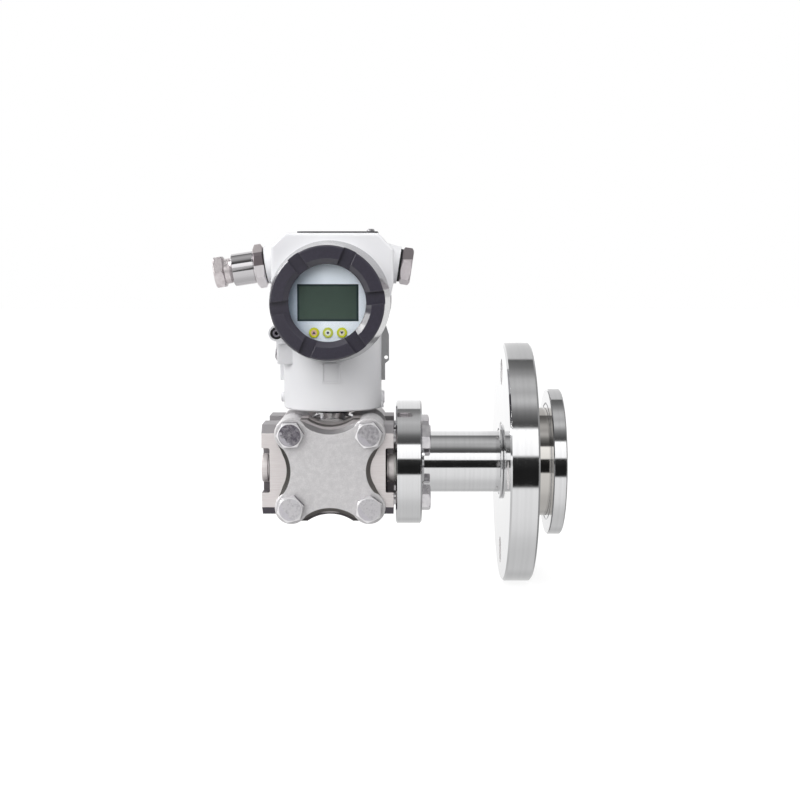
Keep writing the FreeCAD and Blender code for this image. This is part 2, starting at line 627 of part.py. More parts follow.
# Isolating diaphragms and sealing rings, one each side of the capsule.
iso_seat = V(MODULE_X, -CASTING_INNER_Y + ISO_RECESS_D, 0)
iso = rippled_disc(iso_seat, -Y_AXIS, ISO_RECESS_R - 0.1, 0.25, ISO_RIPPLES, 0.7)
save("high_diaphragm", iso)
save("low_diaphragm", mirrored(iso))
cap_ring = ring(MODULE, Y_AXIS, -CASTING_INNER_Y, -CASTING_INNER_Y + CAP_GROOVE_D,
                CAP_GROOVE_OUT - FIT, CAP_GROOVE_IN + FIT)
save("capsule_gaskets", cap_ring, mirrored(cap_ring))

# Rubber ring round the neck, just under the housing.
neck_ring_bottom = CAPSULE_R + 0.2
save("neck_ring", ring(MODULE, Z_AXIS, neck_ring_bottom, HOUSING_BOTTOM_Z - GAP, NECK_RING_R, NECK_R + 0.02))

# ---- electronics housing ---------------------------------------------------
tilt = math.radians(CONDUIT_TILT)
entries = {}
for name, sx, reach in (("left", -1, ENTRY_LEFT_X), ("right", 1, ENTRY_RIGHT_X)):
    entries[name] = (V(MODULE_X + sx * reach, 0, CONDUIT_Z), V(sx * math.cos(tilt), 0, -math.sin(tilt)))


def outline_xz(points, y0, y1):
    corners = [V(MODULE_X + x, y0, z) for x, z in points]
    return sound(Part.Face(Part.makePolygon(corners + [corners[0]])).extrude(V(0, y1 - y0, 0)))


shell = turned(MODULE, Z_AXIS, [
    (HOUSING_BOTTOM_Z, 0), (HOUSING_BOTTOM_Z, HOUSING_NECK_R - HOUSING_FOOT_EDGE),
    (HOUSING_BOTTOM_Z + HOUSING_FOOT_EDGE, HOUSING_NECK_R), (BARREL_Z, HOUSING_NECK_R), (BARREL_Z, 0)])
barrel = turned(BARREL, Y_AXIS, [
    (-BARREL_END_Y, 0), (-BARREL_END_Y, BARREL_R - 0.8), (-BARREL_END_Y + 0.8, BARREL_R),
    (BARREL_END_Y - 0.8, BARREL_R), (BARREL_END_Y, BARREL_R - 0.8), (BARREL_END_Y, 0)])
box = outline_xz([
    (3.5 - BOX_RIGHT, BARREL_Z - 1.7), (-BOX_LEFT, BOX_HIP_Z), (-BOX_LEFT, BOX_SHOULDER_LEFT_Z),
    (-BOX_TOP_LEFT, BOX_TOP_Z), (BOX_TOP_RIGHT, BOX_TOP_Z), (BOX_RIGHT, BOX_SHOULDER_RIGHT_Z),
    (BOX_RIGHT, BOX_HIP_Z), (BOX_RIGHT - 3.6, BARREL_Z - 3.7)], -BOX_HALF_Y, BOX_HALF_Y)
box = box.makeFillet(BOX_EDGE, [e for e in box.Edges if e.BoundBox.ZMax > BARREL_Z + 1])
# the neck is cut back flat behind the two covers
for sy in (-1, 1):
    y0, y1 = sorted((sy * BARREL_END_Y, sy * (BARREL_END_Y + HOUSING_NECK_R)))
    shell = shell.cut(block(MODULE_X - BARREL_R, MODULE_X + BARREL_R, y0, y1,
                            NECK_FLAT_Z, BARREL_Z + 1))
shell = joined(shell, barrel, box)
# tapering shoulders carry the conduit bosses
for spot, out in entries.values():
    shell = shell.fuse(turned(spot, out, [
        (-CONDUIT_ROOT, 0), (-CONDUIT_ROOT, CONDUIT_BOSS_R + CONDUIT_SHOULDER), (-2.0, CONDUIT_BOSS_R),
        (0, CONDUIT_BOSS_R), (0, 0)]))
# side fins with a lead-seal hole
fin_root = FIN_FOOT_X - 6.2
for sx in (-1, 1):
    fin = outline_xz([
        (sx * fin_root, 57.0), (sx * FIN_FOOT_X, 57.0), (sx * FIN_FOOT_X, FIN_HOLE_Z - 4.2),
        (sx * FIN_X, FIN_HOLE_Z - 2.0), (sx * FIN_X, 88.0), (sx * (FIN_X - 1.9), 94.2),
        (sx * fin_root, 94.2)], -FIN_T / 2, FIN_T / 2)
    seal_hole = rod(V(MODULE_X + sx * FIN_HOLE_X, 0, FIN_HOLE_Z), Y_AXIS, -FIN_T, FIN_T, FIN_HOLE_R)
    shell = shell.fuse(fin.cut(seal_hole))
# bosses of the two set screws; the right one has a pad down to the foot
for sx, boss_r in ((-1, SET_BOSS_LEFT_R), (1, SET_BOSS_RIGHT_R)):
    shell = shell.fuse(turned(V(MODULE_X, 0, NECK_GROOVE_Z), V(sx, 0, 0), [
        (28, 0), (28, boss_r), (SET_BOSS_X - 0.6, boss_r), (SET_BOSS_X, boss_r - 0.6), (SET_BOSS_X, 0)]))
shell = shell.fuse(block(MODULE_X + 28, MODULE_X + SET_BOSS_X - 0.6, -SET_BOSS_RIGHT_R, SET_BOSS_RIGHT_R,
                         HOUSING_BOTTOM_Z, NECK_GROOVE_Z))
# plain cast frame on the front of the neck
frame_y0 = -HOUSING_NECK_R - FRAME_STAND
frame_y1 = -HOUSING_NECK_R + 2.5
for x0 in (MODULE_X - FRAME_LEFT, MODULE_X + FRAME_RIGHT - FRAME_RIB):
    shell = shell.fuse(block(x0, x0 + FRAME_RIB, frame_y0, frame_y1, FRAME_FOOT_Z, FRAME_TOP_Z))
shell = shell.fuse(block(MODULE_X - FRAME_LEFT, MODULE_X + FRAME_RIGHT, frame_y0, frame_y1,
                         FRAME_FOOT_Z - FRAME_RIB / 2, FRAME_FOOT_Z + FRAME_RIB / 2))
# bosses for the cover lock screws, both on the left
locks = []
for sy in (-1, 1):
    spot = V(MODULE_X - LOCK_X, 0, LOCK_Z)
    locks.append((spot, V(0, sy, 0)))
    shell = shell.fuse(rod(spot, V(0, sy, 0), 12.0, LOCK_FACE_Y, LOCK_BOSS_R))
# pad for the outside earth screw, left of the neck
pad = block(MODULE_X - EARTH_BOSS_X, MODULE_X - EARTH_BOSS_X + 12.6, -EARTH_Y - EARTH_PAD_W / 2,
            -EARTH_Y + EARTH_PAD_W / 2, EARTH_Z - EARTH_PAD_H / 2, EARTH_Z + EARTH_PAD_H / 2)
pad = pad.makeFillet(1.2, [e for e in pad.Edges if e.BoundBox.XMax < MODULE_X - EARTH_BOSS_X + 0.01])
shell = shell.fuse(pad).removeSplitter()

# hollows: two covered chambers, neck cavity, wire way, neck bore
shell = drilled(
    shell,
    rod(BARREL, Y_AXIS, -BARREL_END_Y - 1, -BARREL_END_Y + COVER_BORE_DEPTH, COVER_BORE_R),
    rod(BARREL, Y_AXIS, BARREL_END_Y - COVER_BORE_DEPTH, BARREL_END_Y + 1, COVER_BORE_R),
    rod(BARREL, Y_AXIS, -BARREL_END_Y, WALL_FRONT_Y, CHAMBER_R),
    rod(BARREL, Y_AXIS, WALL_REAR_Y, BARREL_END_Y, CHAMBER_R),
    rod(MODULE, Z_AXIS, HOUSING_FLOOR_TOP, HOUSING_NECK_CAVITY_TOP, HOUSING_NECK_CAVITY_R),
    rod(MODULE, Z_AXIS, HOUSING_BOTTOM_Z - 1, HOUSING_FLOOR_TOP + 1, NECK_R + RUN),
    rod(V(MODULE_X, -20, 0), Z_AXIS, HOUSING_NECK_CAVITY_TOP - 1, BARREL_Z - CHAMBER_R + 5.3,
        WIRE_WAY_R))
for spot, out in entries.values():
    shell = drilled(shell, rod(spot, out, -CONDUIT_ROOT - 8, 1, CONDUIT_BORE_R))
for sx in (-1, 1):
    shell = drilled(shell, rod(V(MODULE_X, 0, NECK_GROOVE_Z), V(sx, 0, 0), NECK_R - 1,
                               SET_BOSS_X + 1, SET_SCREW_R + FIT))
for spot, out in locks:
    shell = drilled(shell, rod(spot, out, LOCK_FACE_Y - LOCK_COUNTERBORE, LOCK_FACE_Y + 1,
                               LOCK_COUNTERBORE_R),
                    rod(spot, out, LOCK_FACE_Y - LOCK_SCREW_LEN - 1, LOCK_FACE_Y, LOCK_SCREW_R + FIT))
earth_spot = V(MODULE_X - EARTH_BOSS_X, -EARTH_Y, EARTH_Z)
shell = drilled(shell, rod(earth_spot, X_AXIS, -1, 8.5, EARTH_SCREW_R + FIT),
                rod(V(MODULE_X + PLATE_SCREW_X, 0, 0), Z_AXIS, BOX_TOP_Z - PLATE_SCREW_LEN - 1, BOX_TOP_Z + 1,
                    PLATE_SCREW_R + FIT))
save("housing_shell", shell)

# Set screws deep in the two neck bosses: they ride in the neck groove.
set_screws = []
for sx in (-1, 1):
    out = V(sx, 0, 0)
    start = NECK_GROOVE_R + GAP
    screw = turned(V(MODULE_X, 0, NECK_GROOVE_Z), out, [
        (start, 0), (start, 1.6), (start + 1.2, SET_SCREW_R), (start + SET_SCREW_LEN, SET_SCREW_R),
        (start + SET_SCREW_LEN, 0)])
    socket = hexagon(V(MODULE_X, 0, NECK_GROOVE_Z), out, start + SET_SCREW_LEN - 2.5,
                     start + SET_SCREW_LEN + 1, 2.5, 0, False, False)
    set_screws.append(screw.cut(socket))
save("neck_set_screws", *set_screws)

# Cap screws that lock the two covers, each in a soft ring.
lock_screws = []
lock_rings = []
lock_seat = LOCK_FACE_Y - LOCK_COUNTERBORE
for spot, out in locks:
    screw = turned(spot, out, [
        (LOCK_FACE_Y - LOCK_SCREW_LEN, 0), (LOCK_FACE_Y - LOCK_SCREW_LEN, LOCK_SCREW_R),
        (lock_seat, LOCK_SCREW_R), (lock_seat, LOCK_HEAD_R), (LOCK_FACE_Y - 0.7, LOCK_HEAD_R),
        (LOCK_FACE_Y - 0.4, LOCK_HEAD_R - 0.3), (LOCK_FACE_Y - 0.4, 0)])
    socket = hexagon(spot, out, lock_seat + 1.0, LOCK_FACE_Y + 1, LOCK_HEAD_R, 10, False, False)
    lock_screws.append(screw.cut(socket))
    lock_rings.append(ring(spot, out, lock_seat, LOCK_FACE_Y - 0.8, LOCK_COUNTERBORE_R - 0.02,
                           LOCK_HEAD_R + 0.02))
save("cover_lock_screws", *lock_screws)
save("cover_lock_rings", *lock_rings)

# Outside earth terminal: clamp washer and screw on the left pad.
save("earth_clamp", ring(earth_spot, -X_AXIS, 0, EARTH_CLAMP_T, EARTH_CLAMP_R, EARTH_SCREW_R + 0.15))
earth_top = EARTH_CLAMP_T + EARTH_HEAD
earth = turned(earth_spot, -X_AXIS, [
    (-7.5, 0), (-7.5, EARTH_SCREW_R), (EARTH_CLAMP_T, EARTH_SCREW_R), (EARTH_CLAMP_T, EARTH_HEAD_R),
    (earth_top - 0.4, EARTH_HEAD_R), (earth_top, EARTH_HEAD_R - 0.5), (earth_top, 0)])
earth = earth.cut(block(earth_spot.x - earth_top - 1, earth_spot.x - EARTH_CLAMP_T - 0.2, -EARTH_Y - 0.45,
                        -EARTH_Y + 0.45, EARTH_Z - EARTH_CLAMP_R, EARTH_Z + EARTH_CLAMP_R))
save("earth_screw", earth)

# ---- covers ----------------------------------------------------------------


def cover_notches(front):
    """Six radial slots for the cover spanner."""
    tools = []
    for k in range(6):
        slot = block(WINDOW_R - 6, COVER_SKIRT_R + 4, -front - 1, -front + COVER_NOTCH_D,
                     -COVER_NOTCH_W / 2, COVER_NOTCH_W / 2)
        slot.rotate(V(0, 0, 0), Y_AXIS, -COVER_NOTCH_TURN - 60 * k)
        slot.translate(BARREL)
        tools.append(slot)
    return tools


spigot_r = COVER_BORE_R - RUN
spigot_in = spigot_r - COVER_SPIGOT_WALL
skirt_y = BARREL_END_Y + GAP
groove_y = skirt_y - 1.6
retainer_y = GLASS_FRONT_Y - GLASS_T - RETAINER_T


def ring_groove(sign):
    """Groove in the cover's thread collar for its sealing ring."""
    return ring(BARREL, V(0, sign, 0), groove_y - SEAL_RING_W, groove_y,
                COVER_SKIRT_R, spigot_r - SEAL_RING_D)


front_cover = turned(BARREL, -Y_AXIS, [
    (skirt_y - COVER_SPIGOT, spigot_in), (skirt_y - COVER_SPIGOT, spigot_r), (skirt_y, spigot_r),
    (skirt_y, COVER_SKIRT_R - 0.5), (skirt_y + 0.5, COVER_SKIRT_R), (skirt_y + 3.4, COVER_SKIRT_R),
    (COVER_FRONT_Y - 0.9, COVER_FRONT_R), (COVER_FRONT_Y, COVER_FRONT_R - 0.9),
    (COVER_FRONT_Y, BEVEL_OUT_R), (COVER_FRONT_Y - 2.8, BEVEL_IN_R), (COVER_FRONT_Y - 3.2, WINDOW_R),
    (GLASS_FRONT_Y + GASKET_T, WINDOW_R), (GLASS_FRONT_Y + GASKET_T, GLASS_R + FIT),
    (retainer_y - 0.4, GLASS_R + FIT), (retainer_y - 0.4, spigot_in)])
front_cover = drilled(front_cover, ring_groove(-1), *cover_notches(COVER_FRONT_Y))
save("front_cover", front_cover)

# Window, clamped between a soft ring and a screwed retaining ring.
save("window_gasket", ring(BARREL, -Y_AXIS, GLASS_FRONT_Y, GLASS_FRONT_Y + GASKET_T, GLASS_R, WINDOW_R + 0.5))
save("window_glass", rod(BARREL, -Y_AXIS, GLASS_FRONT_Y - GLASS_T, GLASS_FRONT_Y, GLASS_R))
save("window_retainer", ring(BARREL, -Y_AXIS, retainer_y, retainer_y + RETAINER_T, GLASS_R, RETAINER_IN_R))

rear_cover = turned(BARREL, Y_AXIS, [
    (skirt_y - COVER_SPIGOT, spigot_in), (skirt_y - COVER_SPIGOT, spigot_r), (skirt_y, spigot_r),
    (skirt_y, COVER_SKIRT_R - 0.5), (skirt_y + 0.5, COVER_SKIRT_R), (skirt_y + 3.4, COVER_SKIRT_R),
    (REAR_COVER_Y - 0.9, COVER_FRONT_R + 1.6), (REAR_COVER_Y, COVER_FRONT_R + 0.7),
    (REAR_COVER_Y, BEVEL_OUT_R), (REAR_COVER_Y - 2.8, BEVEL_IN_R), (REAR_COVER_Y - 2.8, 0),
    (REAR_COVER_Y - 7.0, 0), (REAR_COVER_Y - 7.0, spigot_in)])
for notch in cover_notches(REAR_COVER_Y):
    rear_cover = rear_cover.cut(mirrored(notch))
rear_cover = rear_cover.cut(ring_groove(1))
save("rear_cover", rear_cover)
for name, sign in (("front_cover_seal", -1), ("rear_cover_seal", 1)):
    save(name, ring(BARREL, V(0, sign, 0), groove_y - SEAL_RING_W + 0.1, groove_y - 0.1,
                    spigot_r - 0.02, spigot_r - SEAL_RING_D + 0.02))

# ---- display unit ----------------------------------------------------------
# Potted electronics can, display case on top of it, printed face plate, LCD.
save("electronics_module", turned(BARREL, -Y_AXIS, [
    (-WALL_FRONT_Y, 0), (-WALL_FRONT_Y, CASE_R - 1.5), (-WALL_FRONT_Y + 1.5, CASE_R),
    (CASE_BACK_Y, CASE_R), (CASE_BACK_Y, 0)]))
face_back = FACE_Y - FACE_T
case = rod(BARREL, -Y_AXIS, CASE_BACK_Y, face_back, CASE_R)
case = case.makeChamfer(1.2, [e for e in case.Edges if abs(e.BoundBox.YMin + face_back) < 0.01
                              and abs(e.BoundBox.YMax + face_back) < 0.01])
half_w = LCD_W / 2
half_h = LCD_H / 2
lcd_hole = block(MODULE_X - half_w - FIT, MODULE_X + half_w + FIT, -FACE_Y - 1, -POCKET_Y,
                 BARREL_Z - half_h - FIT, BARREL_Z + half_h + FIT)
face = rod(BARREL, -Y_AXIS, face_back, FACE_Y, FACE_R)
case = case.cut(lcd_hole)
face = face.cut(lcd_hole)
for name, k in (("key_left", -1), ("key_middle", 0), ("key_right", 1)):
    spot = V(MODULE_X + k * KEY_PITCH, 0, BARREL_Z - KEY_DROP)
    hole = rod(spot, -Y_AXIS, POCKET_Y, FACE_Y + 1, KEY_R + RUN)
    case = case.cut(hole)
    face = face.cut(hole)
    key = turned(spot, -Y_AXIS, [(POCKET_Y + KEY_FLOOR, 0), (POCKET_Y + KEY_FLOOR, KEY_R),
                                 (KEY_FRONT_Y - 0.3, KEY_R), (KEY_FRONT_Y, KEY_R - 0.3), (KEY_FRONT_Y, 0)])
    save(name, key)
save("display_case", case)
save("display_face", face)
save("lcd", block(MODULE_X - half_w, MODULE_X + half_w, -FACE_Y + 0.25, -POCKET_Y,
                  BARREL_Z - half_h, BARREL_Z + half_h))

# ---- terminal compartment --------------------------------------------------
terminal_face = WALL_REAR_Y + TERMINAL_FLOOR
terminal = block(MODULE_X - TERMINAL_HALF_X, MODULE_X + TERMINAL_HALF_X,
                 WALL_REAR_Y, WALL_REAR_Y + TERMINAL_T, BARREL_Z - TERMINAL_BELOW, BARREL_Z + TERMINAL_ABOVE)
terminal_z = BARREL_Z - (TERMINAL_BELOW - TERMINAL_ABOVE) / 2
slot_drop = TERMINAL_BELOW / 3
terminal_screws = []
for k in (-1, 0, 1):
    x = MODULE_X + TERMINAL_PITCH * k
    terminal = terminal.cut(block(x - TERMINAL_SLOT / 2, x + TERMINAL_SLOT / 2, terminal_face,
                                  WALL_REAR_Y + TERMINAL_T + 1, BARREL_Z - TERMINAL_BELOW + slot_drop,
                                  BARREL_Z + TERMINAL_ABOVE + 1))
    spot = V(x, 0, terminal_z)
    terminal = terminal.cut(rod(spot, Y_AXIS, WALL_REAR_Y + 2, terminal_face + 1, TERMINAL_SCREW_R + FIT))
    screw = turned(spot, Y_AXIS, [
        (WALL_REAR_Y + 2.2, 0), (WALL_REAR_Y + 2.2, TERMINAL_SCREW_R), (terminal_face, TERMINAL_SCREW_R),
        (terminal_face, TERMINAL_HEAD_R), (terminal_face + 2.2, TERMINAL_HEAD_R),
        (terminal_face + 2.6, TERMINAL_HEAD_R - 0.4), (terminal_face + 2.6, 0)])
    screw = screw.cut(block(x - 0.45, x + 0.45, terminal_face + 1.6, terminal_face + 4,
                            terminal_z - TERMINAL_HEAD_R - 1, terminal_z + TERMINAL_HEAD_R + 1))
    terminal_screws.append(screw)
save("terminal_block", terminal)
save("terminal_screws", *terminal_screws)

# ---- conduit entries -------------------------------------------------------
spot, out = entries["right"]
save("plug_gasket", ring(spot, out, 0, PLUG_GASKET_T, PLUG_GASKET_R, ENTRY_THREAD_R + FIT))
save("conduit_plug", hexagon(spot, out, PLUG_GASKET_T, PLUG_GASKET_T + PLUG_HEAD, PLUG_AF, 45, True).fuse(
    rod(spot, out, -ENTRY_THREAD_LEN, PLUG_GASKET_T, ENTRY_THREAD_R)).removeSplitter())

spot, out = entries["left"]
save("gland_gasket", ring(spot, out, 0, GLAND_GASKET_T, GLAND_GASKET_R, ENTRY_THREAD_R + FIT))
hex_end = GLAND_GASKET_T + GLAND_HEX
body_end = hex_end + GLAND_BODY_LEN
nut_start = body_end + GAP
spigot_end = nut_start + GLAND_NUT_NECK_LEN
seal_start = body_end - GLAND_SEAL_DEPTH
seal_r = GLAND_BORE_R + GLAND_SEAL_WALL
gland = hexagon(spot, out, GLAND_GASKET_T, hex_end, GLAND_AF, 28, True)
gland = gland.fuse(rod(spot, out, -ENTRY_THREAD_LEN, GLAND_GASKET_T, ENTRY_THREAD_R))
gland = gland.fuse(turned(spot, out, [
    (hex_end - 1, 0), (hex_end - 1, GLAND_BODY_R - GLAND_RELIEF),
    (hex_end + GLAND_RELIEF, GLAND_BODY_R - GLAND_RELIEF),
    (hex_end + GLAND_RELIEF, GLAND_BODY_R), (body_end - 0.6, GLAND_BODY_R), (body_end, GLAND_BODY_R - 0.6),
    (body_end, GLAND_SPIGOT_R), (spigot_end, GLAND_SPIGOT_R), (spigot_end, 0)]))
gland = drilled(gland.removeSplitter(),
                rod(spot, out, -ENTRY_THREAD_LEN - 1, spigot_end + 1, GLAND_BORE_R),
                rod(spot, out, seal_start, spigot_end + 1, seal_r + FIT))
save("gland_body", gland)
save("gland_seal", ring(spot, out, seal_start, spigot_end - 0.6, seal_r, GLAND_NUT_LIP_R))
nut_end = spigot_end + GLAND_NUT_LEN
nut = turned(spot, out, [
    (nut_start, 0), (nut_start, GLAND_NUT_NECK_R - 0.8), (nut_start + 1.4, GLAND_NUT_NECK_R),
    (spigot_end + 0.4, GLAND_NUT_NECK_R), (spigot_end + 0.4, 0)])
nut = nut.fuse(hexagon(spot, out, spigot_end, nut_end, GLAND_NUT_AF, 0, True)).removeSplitter()
nut = drilled(nut, rod(spot, out, nut_start - 1, spigot_end + 0.4, GLAND_SPIGOT_R + RUN),
              rod(spot, out, nut_start, nut_end + 1, GLAND_NUT_LIP_R + 0.4),
              turned(spot, out, [(nut_end - 1.4, 0), (nut_end - 1.4, GLAND_NUT_LIP_R),
                                 (nut_end, GLAND_NUT_LIP_R + 1.6), (nut_end + 1, GLAND_NUT_LIP_R + 1.6),
                                 (nut_end + 1, 0)]))
save("gland_nut", nut)

# ---- swivelling plate on top -----------------------------------------------
plate_z = BOX_TOP_Z + GAP
plate = block(MODULE_X + PLATE_LEFT, MODULE_X + PLATE_RIGHT, -PLATE_HALF_Y, PLATE_HALF_Y,
              plate_z, plate_z + PLATE_T)
plate = plate.makeFillet(PLATE_CORNER_R, [e for e in plate.Edges if e.BoundBox.ZLength > PLATE_T - 0.01])
hinge = V(MODULE_X + PLATE_SCREW_X, 0, 0)
save("top_plate", plate.cut(rod(hinge, Z_AXIS, plate_z - 1, plate_z + 2, PLATE_SCREW_R + RUN)))
head_z = plate_z + PLATE_T + GAP
head_top = head_z + PLATE_SCREW_HEAD
plate_screw = turned(hinge, Z_AXIS, [
    (BOX_TOP_Z - PLATE_SCREW_LEN, 0), (BOX_TOP_Z - PLATE_SCREW_LEN, PLATE_SCREW_R),
    (head_z, PLATE_SCREW_R), (head_z, PLATE_SCREW_HEAD_R), (head_top - 0.7, PLATE_SCREW_HEAD_R),
    (head_top, PLATE_SCREW_HEAD_R - 0.8), (head_top, 0)])
save("plate_screw", plate_screw.cut(block(hinge.x - 4, hinge.x + 4, -0.4, 0.4, head_top - 0.9, head_top + 1)))
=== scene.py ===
import bpy
import json
import math
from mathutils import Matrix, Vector

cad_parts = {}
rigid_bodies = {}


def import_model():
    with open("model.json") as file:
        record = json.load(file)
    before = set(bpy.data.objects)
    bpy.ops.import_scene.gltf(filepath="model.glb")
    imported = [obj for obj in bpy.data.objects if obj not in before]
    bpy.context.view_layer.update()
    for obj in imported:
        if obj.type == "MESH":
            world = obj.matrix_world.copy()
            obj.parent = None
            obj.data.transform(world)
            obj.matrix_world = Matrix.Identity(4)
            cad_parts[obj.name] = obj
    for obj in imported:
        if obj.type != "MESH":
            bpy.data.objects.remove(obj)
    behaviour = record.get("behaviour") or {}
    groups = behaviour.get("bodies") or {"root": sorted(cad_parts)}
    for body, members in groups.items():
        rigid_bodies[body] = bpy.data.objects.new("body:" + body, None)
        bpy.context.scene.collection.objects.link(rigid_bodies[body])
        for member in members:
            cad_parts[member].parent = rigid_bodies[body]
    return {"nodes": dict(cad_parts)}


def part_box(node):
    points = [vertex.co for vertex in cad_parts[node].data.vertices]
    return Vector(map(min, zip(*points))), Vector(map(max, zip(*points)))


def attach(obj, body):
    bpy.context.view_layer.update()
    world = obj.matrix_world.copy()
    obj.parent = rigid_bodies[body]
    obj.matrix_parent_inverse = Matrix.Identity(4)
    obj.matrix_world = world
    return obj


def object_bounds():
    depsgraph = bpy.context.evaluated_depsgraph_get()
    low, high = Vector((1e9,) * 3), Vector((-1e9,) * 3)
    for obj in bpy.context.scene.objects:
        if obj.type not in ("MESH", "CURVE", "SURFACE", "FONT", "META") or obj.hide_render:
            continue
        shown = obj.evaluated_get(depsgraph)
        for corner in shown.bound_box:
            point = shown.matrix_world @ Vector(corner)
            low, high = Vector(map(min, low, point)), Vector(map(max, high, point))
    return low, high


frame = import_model()
cad_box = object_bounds()
nodes = frame["nodes"]
MM = 0.001

# The seal's axis is the X axis; the module's axis is the middle of its neck.
low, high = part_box("neck_ring")
MODULE_X = (low.x + high.x) / 2


# ---- White housing ---------------------------------------------------------
# Cast aluminium with a satin white powder coat: a fine orange peel and a very slight unevenness of tone. It
# is one casting with its fins and bosses. The right fin carries painted shade, a flat grey.
def colour(code):
    """Linear colour of an sRGB hex code."""
    parts = [int(code[i:i + 2], 16) / 255 for i in (1, 3, 5)]
    return tuple(c / 12.92 if c < 0.04045 else ((c + 0.055) / 1.055) ** 2.4 for c in parts) + (1.0,)


def add(tree, kind, inputs=None, **settings):
    """A node with its inputs set to values or linked to sockets."""
    made = tree.nodes.new(kind)
    for key, value in settings.items():
        setattr(made, key, value)
    for key, value in (inputs or {}).items():
        if isinstance(value, bpy.types.NodeSocket):
            tree.links.new(value, made.inputs[key])
        else:
            made.inputs[key].default_value = value
    return made


def material(name, **shader):
    """A new material with one Principled shader; returns it with its tree and shader node."""
    made = bpy.data.materials.new(name)
    made.use_nodes = True
    tree = made.node_tree
    bsdf = tree.nodes["Principled BSDF"]
    for key, value in shader.items():
        bsdf.inputs[key.replace("_", " ")].default_value = value
    return made, tree, bsdf


def calc(tree, operation, first, second=0.0):
    """One step of arithmetic."""
    return add(tree, "ShaderNodeMath", {0: first, 1: second}, operation=operation).outputs[0]


def place(tree):
    """Object coordinates in metres: the vector and its three parts."""
    where = add(tree, "ShaderNodeTexCoord").outputs["Object"]
    split = add(tree, "ShaderNodeSeparateXYZ", {0: where})
    return where, split.outputs[0], split.outputs[1], split.outputs[2]


def noise(tree, where, size, detail=3.0, roughness=0.5):
    """Noise with features of about size metres."""
    made = add(tree, "ShaderNodeTexNoise", {
        "Vector": where, "Scale": 1.0 / size, "Detail": detail, "Roughness": roughness})
    return made.outputs["Fac"]


def remap(tree, value, low_in, high_in, low_out, high_out):
    """Value moved from one range to another, and held inside it."""
    made = add(tree, "ShaderNodeMapRange", {
        "Value": value, "From Min": low_in, "From Max": high_in, "To Min": low_out, "To Max": high_out})
    return made.outputs["Result"]


def blend(tree, factor, first, second):
    """Mix of two colours or colour sockets."""
    made = add(tree, "ShaderNodeMix", {0: factor, 6: first, 7: second}, data_type="RGBA")
    return made.outputs[2]


def surface(tree, bsdf, base, rough, height=None, depth=0.0, edge=0.0):
    """Links colour, roughness, a bump of this depth and softly broken edges of this radius."""
    tree.links.new(base, bsdf.inputs["Base Color"])
    if rough is not None:
        tree.links.new(rough, bsdf.inputs["Roughness"])
    normal = None
    if edge:
        normal = add(tree, "ShaderNodeBevel", {"Radius": edge}, samples=4).outputs[0]
    if height is not None:
        inputs = {"Height": height, "Distance": depth}
        if normal is not None:
            inputs["Normal"] = normal
        normal = add(tree, "ShaderNodeBump", inputs).outputs[0]
    if normal is not None:
        tree.links.new(normal, bsdf.inputs["Normal"])
        tree.links.new(normal, bsdf.inputs["Coat Normal"])


def dress(made, *names):
    """Gives CAD nodes their material."""
    for name in names:
        for piece in [nodes[name]] + list(nodes[name].children):
            if piece.type != "MESH":
                continue
            if not piece.material_slots:
                piece.data.materials.append(made)
            for slot in piece.material_slots:
                slot.material = made


def beyond(tree, value, limit, soft=0.2 * MM):
    """One where value is above limit, zero below it."""
    return remap(tree, value, limit - soft / 2, limit + soft / 2, 0.0, 1.0)


def below(tree, value, limit, soft=0.2 * MM):
    """One where value is under limit, zero above it."""
    return remap(tree, value, limit - soft / 2, limit + soft / 2, 1.0, 0.0)


def both(tree, *masks):
    """Product of masks: one only where all of them are."""
    made = masks[0]
    for mask in masks[1:]:
        made = calc(tree, "MULTIPLY", made, mask)
    return made


# where the right fin's painted shade lies: out from the neck, and up and down
FIN_ROOT, FIN_HALF, FIN_SOFT = 33.6 * MM, 1.8 * MM, 0.3 * MM
FIN_FOOT, FIN_TOP = 56.65 * MM, 94.45 * MM
paint, tree, bsdf = material("powder_coat_white", Roughness=0.4, Coat_Weight=0.08, Coat_Roughness=0.25)
where, x, y, z = place(tree)
tone = remap(tree, noise(tree, where, 30 * MM, 2), 0.3, 0.7, 0.0, 1.0)
across = calc(tree, "SUBTRACT", x, MODULE_X)
fin_shade_mask = both(tree, beyond(tree, across, FIN_ROOT, 0.4 * MM), below(tree, calc(tree, "ABSOLUTE", y), FIN_HALF),
           below(tree, z, FIN_TOP, FIN_SOFT), beyond(tree, z, FIN_FOOT, FIN_SOFT))
white = blend(tree, tone, colour("#ececee"), colour("#e6e6e9"))
fin_shade_grey = blend(tree, noise(tree, where, 0.8 * MM), colour("#9c9c9d"), colour("#a2a2a3"))
surface(tree, bsdf, blend(tree, fin_shade_mask, white, fin_shade_grey),
        remap(tree, noise(tree, where, 0.9 * MM), 0.3, 0.7, 0.36, 0.46),
        noise(tree, where, 1.1 * MM, 2), 0.02 * MM, 0.5 * MM)
dress(paint, "housing_shell")


# ---- Dark covers -----------------------------------------------------------
# Both screwed covers are die-cast and coated in a deep grey-violet gloss
# paint, smooth enough to mirror the studio at a glancing angle.
dark, tree, bsdf = material("gloss_coat_violet_grey", Roughness=0.45, Coat_Weight=1.0, Coat_Roughness=0.11)
where, x, y, z = place(tree)
flake = remap(tree, noise(tree, where, 0.4 * MM, 2), 0.4, 0.7, 0.0, 1.0)
surface(tree, bsdf, blend(tree, flake, colour("#272430"), colour("#34303f")), None,
        noise(tree, where, 1.6 * MM, 2), 0.012 * MM, 0.6 * MM)
dress(dark, "front_cover", "rear_cover")


